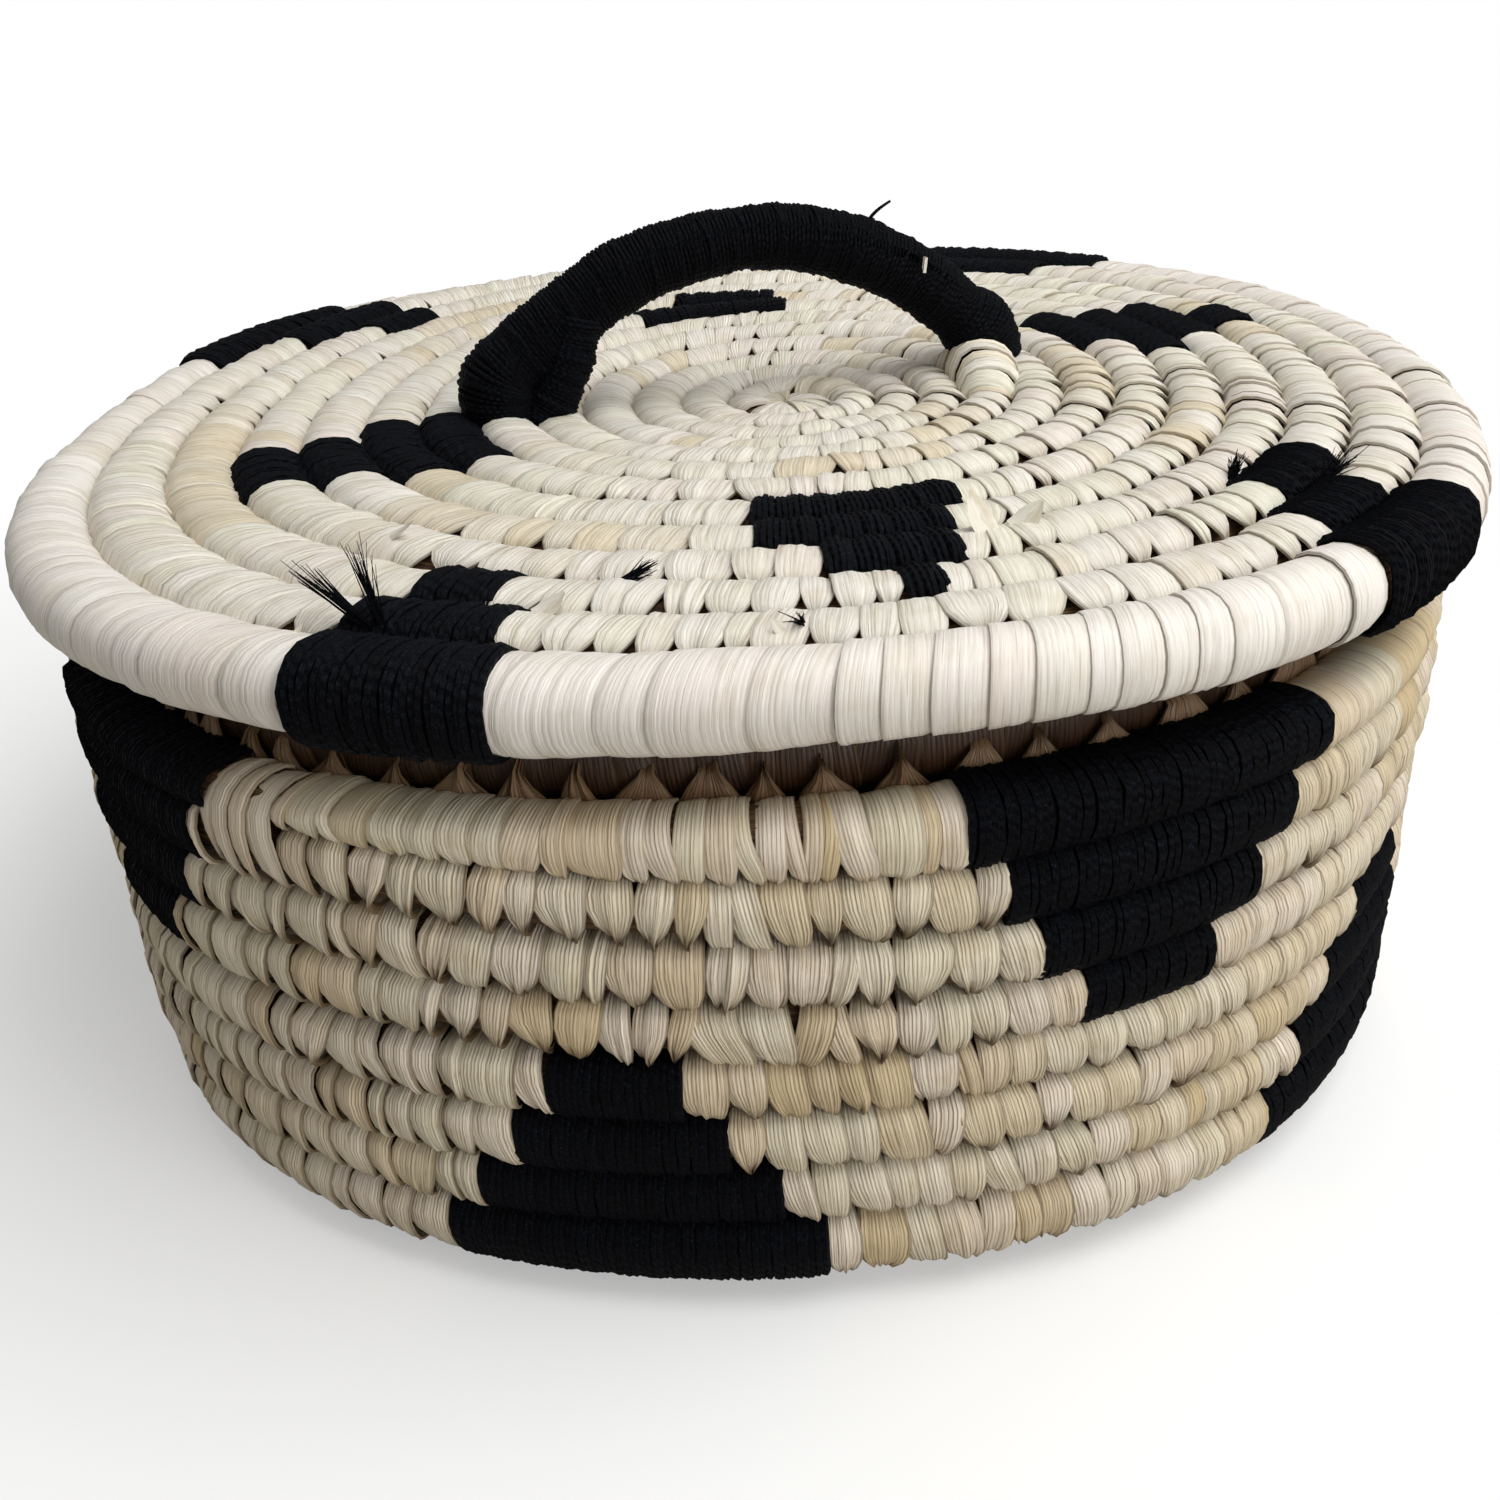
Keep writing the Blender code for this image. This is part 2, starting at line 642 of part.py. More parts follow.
clear_scene()
BASKET_COLLECTION = new_collection("roti_basket")
CUTTER_COLLECTION = new_collection("cutters")
build_basket(BASKET_COLLECTION, CUTTER_COLLECTION)
build_lid(BASKET_COLLECTION)
build_patches(BASKET_COLLECTION)
build_handle(BASKET_COLLECTION, CUTTER_COLLECTION)
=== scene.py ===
import math

import bpy
import numpy as np
from mathutils import Matrix, Vector


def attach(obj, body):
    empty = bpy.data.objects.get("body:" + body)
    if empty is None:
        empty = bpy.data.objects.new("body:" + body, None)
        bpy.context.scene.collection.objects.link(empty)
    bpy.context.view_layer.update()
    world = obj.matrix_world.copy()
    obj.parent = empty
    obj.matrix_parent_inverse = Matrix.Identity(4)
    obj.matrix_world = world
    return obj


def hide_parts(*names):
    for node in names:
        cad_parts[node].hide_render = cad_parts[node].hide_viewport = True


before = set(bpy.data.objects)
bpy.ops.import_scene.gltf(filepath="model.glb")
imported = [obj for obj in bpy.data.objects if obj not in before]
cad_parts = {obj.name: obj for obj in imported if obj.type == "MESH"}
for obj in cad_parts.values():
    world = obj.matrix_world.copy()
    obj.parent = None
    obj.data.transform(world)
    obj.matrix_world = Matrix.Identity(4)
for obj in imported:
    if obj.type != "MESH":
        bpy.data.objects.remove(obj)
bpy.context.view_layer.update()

MM = 0.001


# Base. The real base is one long bundle of grass, wound outward from its eye. Palm-leaf strips
# are wrapped round it, each one pulled through the row before it, so that each wrap narrows
# to a pinch at its seam. Between the pinches the brown grass shows.

BASKET_ROW_PITCH = 12.0 * MM
WALL_CENTRE_RADIUS = 142.0 * MM
BASE_EYE_RADIUS = 7.5 * MM
CORNER_RADIUS = 8.0 * MM
BASKET_HALF_THICKNESS = 6.3 * MM
BASE_HEIGHT = 5.242 * MM
BASE_HALF_THICKNESS = 4.7 * MM
WALL_ROWS = 8
FRONT_TURN = -0.25
RIM_END_PAST_FRONT = 0.305
RIM_TAPER_TURNS = 0.14
END_SHARE = 0.45
WALL_WAVER = 0.35 * MM
WAVER_GAIN = 1.6
HARD_EDGE_DEGREES = 55

CORNER_RUN_START = WALL_CENTRE_RADIUS - CORNER_RADIUS - BASE_EYE_RADIUS
CORNER_RUN = CORNER_RADIUS * math.pi / 2
BASKET_START_TURN = FRONT_TURN - (CORNER_RUN_START + CORNER_RUN / 2) / BASKET_ROW_PITCH
WALL_START_TURN = BASKET_START_TURN + CORNER_RUN_START / BASKET_ROW_PITCH
BASKET_END_TURN = FRONT_TURN + WALL_ROWS - 1 + RIM_END_PAST_FRONT

# How the rows lie: way along the coil's section past the corner's start, lean off the floor in
# degrees, radius, height and half of the row's height. The lowest wall row is taller than the
# others and stands just outside the base's last row.
ROW_LAY = (
    (-CORNER_RUN_START, 0.0, BASE_EYE_RADIUS, BASE_HEIGHT, 6.28 * MM),
    (-8.0 * MM, 0.0, 131.4 * MM, BASE_HEIGHT, 6.28 * MM),
    (0.0, 40.0, 138.5 * MM, 7.2 * MM, 6.6 * MM),
    (6.3 * MM, 79.0, 142.3 * MM, 11.8 * MM, 7.2 * MM),
    (12.3 * MM, 88.0, 142.3 * MM, 18.2 * MM, 6.4 * MM),
    (18.3 * MM, 90.0, 142.0 * MM, 24.7 * MM, 5.72 * MM),
    (102.3 * MM, 90.0, 142.0 * MM, 104.85 * MM, 5.72 * MM),
)
# The upper rows rise a little on the front's left and sag on its right: degrees, then how far
ROW_RISE_DEGREES = (-170.0, -140.0, -117.0, -101.0, -81.0, -60.0, -40.0)
ROW_RISE = (0.0, 3.0 * MM, 3.2 * MM, 0.3 * MM, -2.2 * MM, 0.0, 0.0)
RISE_HEIGHTS = (40.0 * MM, 62.0 * MM)
RIM_SQUEEZE = 1.05 * MM

# The basket is a little square when seen from above: number of waves round it, then their
# cosine and sine parts, with the angle taken from +X.
WALL_OUTLINE = ((0, -0.9 * MM, 0.0), (1, 1.2 * MM, 0.0), (2, -4.7 * MM, 2.3 * MM),
                (3, -0.5 * MM, -0.8 * MM), (4, -2.9 * MM, 0.6 * MM))

# A wrap's way round the coil's section: how far out, how far up the row, and how wide the
# strip is there, as shares. It starts at the pinch and runs over the shown face.
STITCH_LOOP_SHARES = (
    (0.02, -1.02, 0.16), (0.32, -1.05, 0.15), (0.58, -1.02, 0.15), (0.78, -0.86, 0.20),
    (0.95, -0.60, 0.42), (1.05, -0.20, 0.76), (1.04, 0.30, 0.97), (0.90, 0.70, 1.00),
    (0.54, 0.95, 0.92), (0.00, 1.02, 0.84),
)
# Places across a strip, its two edges included
STRIP_ACROSS_SHARES = (-1.0, -0.75, -0.5, -0.25, 0.0, 0.25, 0.5, 0.75, 1.0)
STRIP_EDGE_DEPTH = 0.5 * MM
STRIP_LEAN_SPREAD = 0.45 * MM
STRIP_WANDER = 0.25 * MM
STRIP_LIFT_SPREAD = 0.12 * MM
STRIP_WIDTH_LIMITS = (0.55, 1.7)
STRIP_NECK_LIMITS = (0.4, 2.2)
FLOOR_CLEARANCE = 0.1 * MM
FLOOR_EDGE_LIFT = 0.05 * MM
GRASS_STOPS_PER_TURN = 110
GRASS_SIDES = 14
GRASS_SHARE = 0.80
GRASS_CAP_SHARE = 0.001


def direction(angle):
    """Level unit vectors at angles from +X."""
    return np.stack([np.cos(angle), np.sin(angle), np.zeros_like(angle)], axis=-1)


UP = np.array((0.0, 0.0, 1.0))


def ease(values, start, end):
    """Smooth step from 0 at start to 1 at end."""
    share = np.clip((values - start) / (end - start), 0.0, 1.0)
    return share * share * (3 - 2 * share)


def waver(turn, seed, waves=(1.3, 2.9, 5.3, 9.7)):
    """Slow hand-made unevenness along a coil, about -1 to 1."""
    draws = np.random.RandomState(seed)
    total = np.zeros_like(turn)
    for wave in waves:
        total += np.sin(math.tau * (wave * turn + draws.uniform())) / len(waves) * WAVER_GAIN
    return total


def outline_offset(outline, angle):
    """How far the outline at an angle lies outside the round one."""
    total = np.zeros_like(angle)
    for waves, cosine, sine in outline:
        total += cosine * np.cos(waves * angle) + sine * np.sin(waves * angle)
    return total


def degrees_at(turn):
    """Angle from +X at a turn, between -180 and 180 degrees."""
    return (360 * turn + 180) % 360 - 180


def tapered(turn, end_turn):
    """Share of its full thickness that a coil has where it thins toward its end."""
    return END_SHARE + (1 - END_SHARE) * np.clip((end_turn - turn) / RIM_TAPER_TURNS, 0.0, 1.0)


def basket_place(turn):
    """Centre, shown side, row direction, radius, half thickness and half row of the coil."""
    past = (turn - BASKET_START_TURN) * BASKET_ROW_PITCH - CORNER_RUN_START
    stops, leans, radii, heights, halves = zip(*ROW_LAY)
    lean = np.radians(np.interp(past, stops, leans))
    radius = np.interp(past, stops, radii)
    radius = radius + outline_offset(WALL_OUTLINE, math.tau * turn) * (radius / WALL_CENTRE_RADIUS) ** 2
    height = np.interp(past, stops, heights)
    half_row = np.interp(past, stops, halves)
    on_rim = ease(turn, BASKET_END_TURN - 1.1, BASKET_END_TURN - 1.0)
    rise = np.interp(degrees_at(turn), ROW_RISE_DEGREES, ROW_RISE) * ease(height, *RISE_HEIGHTS)
    squeeze = on_rim * (rise / 2 + RIM_SQUEEZE)
    height = height + rise - squeeze
    half_row = half_row - squeeze
    share = tapered(turn, BASKET_END_TURN)
    out = direction(math.tau * turn)
    shown = out * np.sin(lean)[..., None] - UP * np.cos(lean)[..., None]
    along = out * np.cos(lean)[..., None] + UP * np.sin(lean)[..., None]
    sink = half_row * (1 - share)
    centre = out * radius[..., None] + UP * height[..., None] - along * sink[..., None]
    centre = centre + shown * (WALL_WAVER * waver(turn, 4) * np.sin(lean))[..., None]
    thick = BASE_HALF_THICKNESS + (BASKET_HALF_THICKNESS - BASE_HALF_THICKNESS) * np.sin(lean)
    return centre, shown, along, radius, thick * share, half_row * share


def mesh_object(name, points, quads, corner_uv=None, point_colours=None):
    """Object from arrays of points and four-sided faces, smooth but for its hard edges."""
    mesh = bpy.data.meshes.new(name)
    mesh.vertices.add(len(points))
    mesh.vertices.foreach_set("co", points.astype(np.float32).ravel())
    mesh.loops.add(quads.size)
    mesh.loops.foreach_set("vertex_index", quads.astype(np.int32).ravel())
    mesh.polygons.add(len(quads))
    mesh.polygons.foreach_set("loop_start", np.arange(0, quads.size, 4, dtype=np.int32))
    mesh.polygons.foreach_set("use_smooth", np.ones(len(quads), dtype=bool))
    mesh.update(calc_edges=True)
    if corner_uv is not None:
        layer = mesh.uv_layers.new(name="strip")
        layer.uv.foreach_set("vector", corner_uv.astype(np.float32).ravel())
    if point_colours is not None:
        attribute = mesh.color_attributes.new("strip_shade", "FLOAT_COLOR", "POINT")
        attribute.data.foreach_set("color", point_colours.astype(np.float32).ravel())
    mesh.set_sharp_from_angle(angle=math.radians(HARD_EDGE_DEGREES))
    thing = bpy.data.objects.new(name, mesh)
    bpy.context.scene.collection.objects.link(thing)
    return thing


def joined_grids(points, uv, shade):
    """Faces, corner places and point shades of many rings of rings, each closed both ways.

    The arrays are ordered by piece, round the coil and round the strip. The places have
    one more row and one more column than the points, because they don't close.
    """
    pieces, around, across = points.shape[:3]
    piece = np.arange(pieces)[:, None, None]
    row = np.arange(around)[None, :, None]
    column = np.arange(across)[None, None, :]

    def number(row_number, column_number):
        return (piece * around + row_number % around) * across + column_number % across

    quads = np.stack([number(row, column), number(row, column + 1),
                      number(row + 1, column + 1), number(row + 1, column)], axis=-1)
    corner_uv = np.stack([uv[:, :-1, :-1], uv[:, :-1, 1:], uv[:, 1:, 1:], uv[:, 1:, :-1]], axis=3)
    return quads.reshape(-1, 4), corner_uv.reshape(-1, 2), shade.reshape(-1, 4)


def full_loop(half_shares, flipped=False):
    """Both faces of a wrap's way round the coil, and the outward direction at each point."""
    half = np.array(half_shares)
    back = half[-2:0:-1] * np.array((-1.0, 1.0, 1.0))
    loop = np.concatenate([half, back])
    if flipped:
        loop = loop[::-1] * np.array((1.0, -1.0, 1.0))
    ahead = np.roll(loop, -1, axis=0)[:, :2] - np.roll(loop, 1, axis=0)[:, :2]
    outward = np.stack([ahead[:, 1], -ahead[:, 0]], axis=1)
    outward /= np.linalg.norm(outward, axis=1)[:, None]
    return loop, outward


def run_along(points):
    """How far each point of a line lies along it."""
    return np.concatenate([[0.0], np.cumsum(np.linalg.norm(np.diff(points, axis=0), axis=1))])


def round_coil(place, centres, sideways, lift, loop, outward):
    """Points of bands round a coil, from how far each lies sideways and off its way round."""
    turn = centres[:, None, None] + sideways / (math.tau * place(centres)[3])[:, None, None]
    centre, shown, along, _, thick, half_row = place(turn)
    out = loop[None, :, None, 0] * thick + outward[None, :, None, 0] * lift
    up = loop[None, :, None, 1] * half_row + outward[None, :, None, 1] * lift
    return centre + shown * out[..., None] + along * up[..., None]


def grouped_tones(count, draws):
    """Tone of each strip, 0 to 1. A few neighbours come from one leaf and share its tone."""
    lengths = draws.randint(2, 8, size=count)
    tones = np.repeat(draws.uniform(size=count), lengths)[:count]
    return np.clip(tones + 0.13 * draws.normal(size=count), 0.0, 1.0)


def wrap_strips(name, place, centres, half_widths, draws, loop_shares, flipped=False, bow=0.5 * MM,
                lean=0.0, crown=0.38 * MM, tilt=0.20 * MM, pleat=0.10 * MM, neck_spread=0.30):
    """Palm-leaf strips wrapped round a coil, each one a closed band.

    A strip bows and leans along the row, is crowned and tilted across, and has small pleats. At
    the pinch its width varies by the neck's spread.
    """
    loop, outward = full_loop(loop_shares, flipped)
    count = len(centres)
    around = len(loop)
    across = np.array(STRIP_ACROSS_SHARES)
    profile = np.concatenate([across, across[::-1][[0, -1]]])
    crowns = np.concatenate([1 - across ** 2, (0.0, 0.0)])
    ridges = draws.normal(size=(count, len(profile)))
    ridges[:, (0, -3, -2, -1)] = 0.0
    drops = np.concatenate([np.zeros(len(across)), (STRIP_EDGE_DEPTH, STRIP_EDGE_DEPTH)])

    bows = bow * (1 + 0.6 * draws.normal(size=count))[:, None]
    leans = (lean + STRIP_LEAN_SPREAD * draws.normal(size=count))[:, None]
    neck = np.clip(1 + neck_spread * draws.normal(size=count), *STRIP_NECK_LIMITS)[:, None]
    widths = loop[None, :, 2] ** neck
    height_up = (loop[:, 1] - loop[0, 1]) / 2
    wander = draws.normal(size=(count, 1)) * STRIP_WANDER * np.sin(2 * loop[None, :, 1])
    middle = bows * (height_up[None, :] ** 2 - 0.3) + leans * loop[None, :, 1] + wander
    offset = middle[:, :, None] + (half_widths[:, None] * widths)[:, :, None] * profile
    tilts = tilt * (1 + 0.5 * draws.normal(size=count))[:, None, None]
    crown_each = crown * (1 + 0.35 * draws.normal(size=count))[:, None, None]
    lift = tilts * profile + crown_each * crowns * widths[:, :, None] ** 0.6 - drops
    lift = lift + pleat * ridges[:, None, :] * (1.5 - widths[:, :, None])
    lift = lift + STRIP_LIFT_SPREAD * draws.normal(size=count)[:, None, None]

    points = round_coil(place, centres, offset, lift, loop, outward)
    points[..., 2] = np.maximum(points[..., 2], FLOOR_CLEARANCE + FLOOR_EDGE_LIFT * np.abs(profile))

    run = run_along(np.concatenate([loop, loop[:1]])[:, :2] * BASKET_HALF_THICKNESS)
    profile_closed = np.concatenate([profile, profile[:1]])
    uv = np.zeros((count, around + 1, len(profile) + 1, 2))
    uv[..., 0] = (half_widths[:, None, None] * profile_closed) / MM
    uv[..., 1] = (run[None, :, None] + draws.uniform(0, 0.5, size=count)[:, None, None]) / MM

    shade = np.ones((count, around, len(profile), 4))
    shade[..., 0] = grouped_tones(count, draws)[:, None, None]
    # Green, the strip's width at each point, drives the painted shade where it is pinched into the seam;
    # alpha, 0 at the strip's edges, drives the painted shade along them.
    shade[..., 1] = widths[:, :, None]
    shade[..., 2] = draws.uniform(size=count)[:, None, None]
    shade[..., 3] = (1 - np.abs(profile))[None, None, :]
    quads, corner_uv, colours = joined_grids(points, uv, shade)
    return mesh_object(name, points.reshape(-1, 3), quads, corner_uv, colours)


def strip_run(place, first, last, width, draws, spread=0.22, overlap=1.14):
    """Middles in turns and half widths of strips laid side by side from one turn to another."""
    ends = [first]
    while ends[-1] < last:
        radius = float(place(np.array([ends[-1]]))[3][0])
        share = np.clip(1 + spread * draws.normal(), *STRIP_WIDTH_LIMITS)
        ends.append(ends[-1] + width * share / (math.tau * radius))
    ends = np.array(ends)
    ends = first + (ends - first) * (last - first) / (ends[-1] - first)
    middles = (ends[1:] + ends[:-1]) / 2
    radii = place(middles)[3]
    return middles, np.diff(ends) * math.tau * radii / 2 * overlap


def tube_faces(count, sides, length, side_width):
    """Faces and corner places of a tube of rings, from each ring's way along it."""
    row = np.arange(count - 1)[:, None]
    column = np.arange(sides)[None, :]
    beside = (column + 1) % sides
    quads = np.stack([row * sides + column, (row + 1) * sides + column,
                      (row + 1) * sides + beside, row * sides + beside], axis=-1)
    near, far = length[row] + 0 * column, length[row + 1] + 0 * column
    left, right = side_width * (column + 0 * row), side_width * (column + 1 + 0 * row)
    uv = np.stack([np.stack([left, near], -1), np.stack([left, far], -1),
                   np.stack([right, far], -1), np.stack([right, near], -1)], axis=2)
    return quads.reshape(-1, 4), uv.reshape(-1, 2)


def grass_core(name, place, first, last):
    """The grass bundle inside the wraps, a tube along the coil with capped ends."""
    count = max(3, int((last - first) * GRASS_STOPS_PER_TURN)) + 2
    stops = np.concatenate([[first], np.linspace(first, last, count - 2), [last]])
    turn = stops[:, None] + np.zeros((1, GRASS_SIDES))
    angle = math.tau * np.arange(GRASS_SIDES) / GRASS_SIDES
    centre, shown, along, _, thick, half_row = place(turn)
    ridge = GRASS_SHARE * (1 + 0.03 * np.sin(5 * angle + 9 * turn))
    ridge[[0, -1]] = GRASS_CAP_SHARE
    out = np.sign(np.cos(angle)) * np.abs(np.cos(angle)) ** 0.8 * thick * ridge
    up = np.sign(np.sin(angle)) * np.abs(np.sin(angle)) ** 0.8 * half_row * ridge
    points = centre + shown * out[..., None] + along * up[..., None]
    side_width = math.tau * BASKET_HALF_THICKNESS / GRASS_SIDES / MM
    quads, uv = tube_faces(count, GRASS_SIDES, run_along(points[:, 0]) / MM, side_width)
    return mesh_object(name, points.reshape(-1, 3), quads, uv)


def linear(hex_colour):
    """Linear colour of an sRGB hex value."""
    channels = [int(hex_colour[place:place + 2], 16) / 255 for place in (1, 3, 5)]
    return tuple(c / 12.92 if c <= 0.04045 else ((c + 0.055) / 1.055) ** 2.4 for c in channels) + (1.0,)


def wire(owner, target, inputs):
    """Give a node's inputs their values, or link them to a node or to one of its outputs."""
    for name, value in inputs.items():
        if isinstance(value, bpy.types.Node):
            value = value.outputs[0]
        if isinstance(value, bpy.types.NodeSocket):
            owner.node_tree.links.new(value, target.inputs[name])
        else:
            target.inputs[name].default_value = value


def node(owner, kind, inputs=None, **settings):
    """One more node of a material or world, with its settings and its inputs."""
    added = owner.node_tree.nodes.new(kind)
    for name, value in settings.items():
        setattr(added, name, value)
    wire(owner, added, inputs or {})
    return added


def new_material(name):
    """Empty material and its Principled shader."""
    material = bpy.data.materials.new(name)
    material.use_nodes = True
    return material, material.node_tree.nodes["Principled BSDF"]


def colour_stops(ramp, stops):
    """Set a ramp's stops from places and hex colours."""
    elements = ramp.color_ramp.elements
    while len(elements) < len(stops):
        elements.new(1.0)
    for element, (place, hex_colour) in zip(elements, stops):
        element.position = place
        element.color = linear(hex_colour)


def palm_leaf(name, stops, groove_hex, rib_width=0.75, strength=1.0, stain=0.45,
              relief_depth=0.16 * MM, pinch=0.55, edge=0.55):
    """Dried palm leaf: each strip has its own straw tone and fine ribs that run its length.

    The strip's place is in millimetres. Over its tone lie stains, painted shade between ribs,
    painted shade where it is pinched into the seam, and painted shade along its edges.
    """
    leaf, shader = new_material(name)
    shade = node(leaf, "ShaderNodeVertexColor", layer_name="strip_shade")
    part = node(leaf, "ShaderNodeSeparateColor", {"Color": shade}).outputs
    place = node(leaf, "ShaderNodeUVMap", uv_map="strip")
    spot = node(leaf, "ShaderNodeSeparateXYZ", {"Vector": place}).outputs
    tone = node(leaf, "ShaderNodeValToRGB", {"Fac": part["Red"]})
    colour_stops(tone, stops)

    jitter = node(leaf, "ShaderNodeMath", {0: part["Blue"], 1: 90.0}, operation="MULTIPLY")
    across = node(leaf, "ShaderNodeMath", {0: spot["X"], 1: 2.2}, operation="MULTIPLY")
    along = node(leaf, "ShaderNodeMath", {0: spot["Y"], 1: 0.07}, operation="MULTIPLY")
    streak_place = node(leaf, "ShaderNodeCombineXYZ", {"X": across, "Y": along, "Z": jitter})
    streaks = node(leaf, "ShaderNodeTexNoise", {
        "Vector": streak_place, "Scale": 1.0, "Detail": 4.0, "Roughness": 0.6})
    patch_place = node(leaf, "ShaderNodeCombineXYZ", {"X": spot["X"], "Y": spot["Y"], "Z": jitter})
    patches = node(leaf, "ShaderNodeTexNoise", {
        "Vector": patch_place, "Scale": 0.16, "Detail": 2.0, "Roughness": 0.5})

    swing = node(leaf, "ShaderNodeMath", {0: streaks, 1: 9.0}, operation="MULTIPLY")
    phase = node(leaf, "ShaderNodeMath", {0: spot["X"], 1: math.tau / rib_width, 2: swing},
                 operation="MULTIPLY_ADD")
    ribs = node(leaf, "ShaderNodeMath", {0: phase}, operation="SINE")
    low_ribs = node(leaf, "ShaderNodeMath", {0: ribs, 1: 0.36}, operation="MULTIPLY")
    relief = node(leaf, "ShaderNodeMath", {0: streaks, 1: 3.2, 2: low_ribs}, operation="MULTIPLY_ADD")

    light = node(leaf, "ShaderNodeMapRange", {0: streaks, 1: 0.3, 2: 0.75, 3: 0.78, 4: 1.08})
    colour = node(leaf, "ShaderNodeMix", {0: 1.0, 6: tone, 7: light}, data_type="RGBA",
                  blend_type="MULTIPLY").outputs[2]
    # Over the streaked tone: stains, then painted shade in the low places between ribs, where the strip is
    # pinched into the seam, and along its edges where strips lap.
    for source, first, last, low, high, tint in (
            (patches, 0.50, 0.78, 0.0, stain, "#B9A274"),
            (relief, 0.85, 1.45, 0.55 * strength, 0.0, groove_hex),
            (part["Green"], 0.15, 0.85, pinch, 0.0, "#6B5230"),
            (shade.outputs["Alpha"], 0.0, 0.17, edge, 0.0, "#5E4A2C")):
        share = node(leaf, "ShaderNodeMapRange", {0: source, 1: first, 2: last, 3: low, 4: high})
        colour = node(leaf, "ShaderNodeMix", {0: share, 6: colour, 7: linear(tint)},
                      data_type="RGBA").outputs[2]

    gloss = node(leaf, "ShaderNodeMapRange", {0: streaks, 1: 0.3, 2: 0.7, 3: 0.40, 4: 0.60})
    bump = node(leaf, "ShaderNodeBump", {"Strength": 0.8, "Distance": relief_depth, "Height": relief})
    wire(leaf, shader, {"Base Color": colour, "Normal": bump, "Roughness": gloss, "IOR": 1.45})
    return leaf


def dry_grass(name):
    """Dry grass stems of the bundle: brown, in strands along the coil."""
    stalks, shader = new_material(name)
    place = node(stalks, "ShaderNodeUVMap", uv_map="strip")
    stretch = node(stalks, "ShaderNodeMapping", {"Vector": place, "Scale": (1.5, 0.05, 1.0)})
    stems = node(stalks, "ShaderNodeTexNoise", {
        "Vector": stretch, "Scale": 1.0, "Detail": 3.0, "Roughness": 0.7})
    tone = node(stalks, "ShaderNodeValToRGB", {"Fac": stems})
    colour_stops(tone, ((0.30, "#1B1008"), (0.48, "#4E3520"), (0.62, "#7B5B39"), (0.78, "#A08458")))
    bump = node(stalks, "ShaderNodeBump", {"Strength": 0.9, "Distance": 0.4 * MM, "Height": stems})
    wire(stalks, shader, {"Base Color": tone, "Normal": bump, "Roughness": 0.75})
    return stalks


def finish(thing, material, body, slot, *replaced):
    """Give a piece its material and its body, and hide the solids that it stands for. The slot is not used.
    """
    thing.data.materials.append(material)
    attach(thing, body)
    if replaced:
        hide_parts(*replaced)


# The wall's leaf is coloured a little darker and tanner than the lid's: partly its own tone, partly painted
# shade, as the wall faces sideways from the light above.
WALL_LEAF_STOPS = ((0.0, "#DBCAA9"), (0.25, "#E8DCC4"), (0.5, "#E1D6BB"), (0.72, "#EADCC9"),
                   (1.0, "#D6C099"))
wall_leaf = palm_leaf("palm_leaf_wall", WALL_LEAF_STOPS, "#7C6440", rib_width=0.62, strength=1.15,
                      stain=0.40, relief_depth=0.20 * MM, pinch=0.85, edge=0.70)
wall_rim_leaf = palm_leaf("palm_leaf_wall_rim", WALL_LEAF_STOPS, "#8C744A", rib_width=0.62, strength=0.8,
                          stain=0.40, relief_depth=0.12 * MM, edge=0.50)
grass = dry_grass("dry_grass")

BASE_STRIP_WIDTH = 6.4 * MM
BASE_PIECES = 2
draws = np.random.RandomState(11)
middles, half_widths = strip_run(basket_place, BASKET_START_TURN, WALL_START_TURN,
                                 BASE_STRIP_WIDTH, draws)
for number, chosen in enumerate(np.array_split(np.arange(len(middles)), BASE_PIECES), 1):
    wraps = wrap_strips("base_leaf_wraps_%d" % number, basket_place, middles[chosen], half_widths[chosen],
                        draws, STITCH_LOOP_SHARES)
    finish(wraps, wall_leaf, "basket", "palm_leaf", "base_coil")
base_grass = grass_core("base_grass", basket_place, BASKET_START_TURN, WALL_START_TURN)
finish(base_grass, grass, "basket", "grass", "base_coil")


# Wall. The bundle turns up at the corner and climbs in eight rows, sewn the same way, each
# row's wraps pinched into the row below. Black wool takes the leaf's place in stepped patches
# that hang from the rim and stand on the floor row. The last row is the rim.

# Yarn patches: middles in degrees from +X, and half widths in degrees, row by row
HANGING_MIDDLES = (-137.6, -66.8, 5.2, 77.5, 149.5)
HANGING_HALF_WIDTHS = (12.2, 9.8, 7.6, 4.6)
STANDING_MIDDLES = (-100.2, -42.2, 38.0, 112.0, -174.0)
STANDING_HALF_WIDTHS = (12.7, 9.9, 6.8, 4.2)
ROW_BELOW_SHARE = 0.6
WALL_STRIP_WIDTH = 5.9 * MM
RIM_STRIP_WIDTH = 4.6 * MM
RIM_LOOP_SHARES = (
    (0.04, -1.05, 0.26), (0.42, -1.14, 0.28), (0.72, -1.00, 0.48), (0.90, -0.70, 0.82),
    (0.99, -0.26, 1.00), (0.98, 0.16, 1.00), (0.87, 0.50, 1.00), (0.66, 0.72, 1.00),
    (0.36, 0.86, 1.00), (0.00, 0.90, 1.00),
)
# On the upper rows of the front the wraps pinch to points; elsewhere they narrow less and lean.
# A few strips are of the other kind than those around them.
PINCHED_DEGREES = (-116.0, -76.0)
PINCHED_ABOVE = 50.0 * MM
OTHER_KIND_SHARE = 0.12
SMOOTH_LOOP_SHARES = (
    (0.02, -1.02, 0.46), (0.32, -1.05, 0.46), (0.60, -1.00, 0.48), (0.82, -0.82, 0.62),
    (0.97, -0.50, 0.82), (1.04, -0.10, 0.96), (1.03, 0.35, 1.00), (0.88, 0.70, 1.00),
    (0.52, 0.94, 0.94), (0.00, 1.02, 0.88),
)
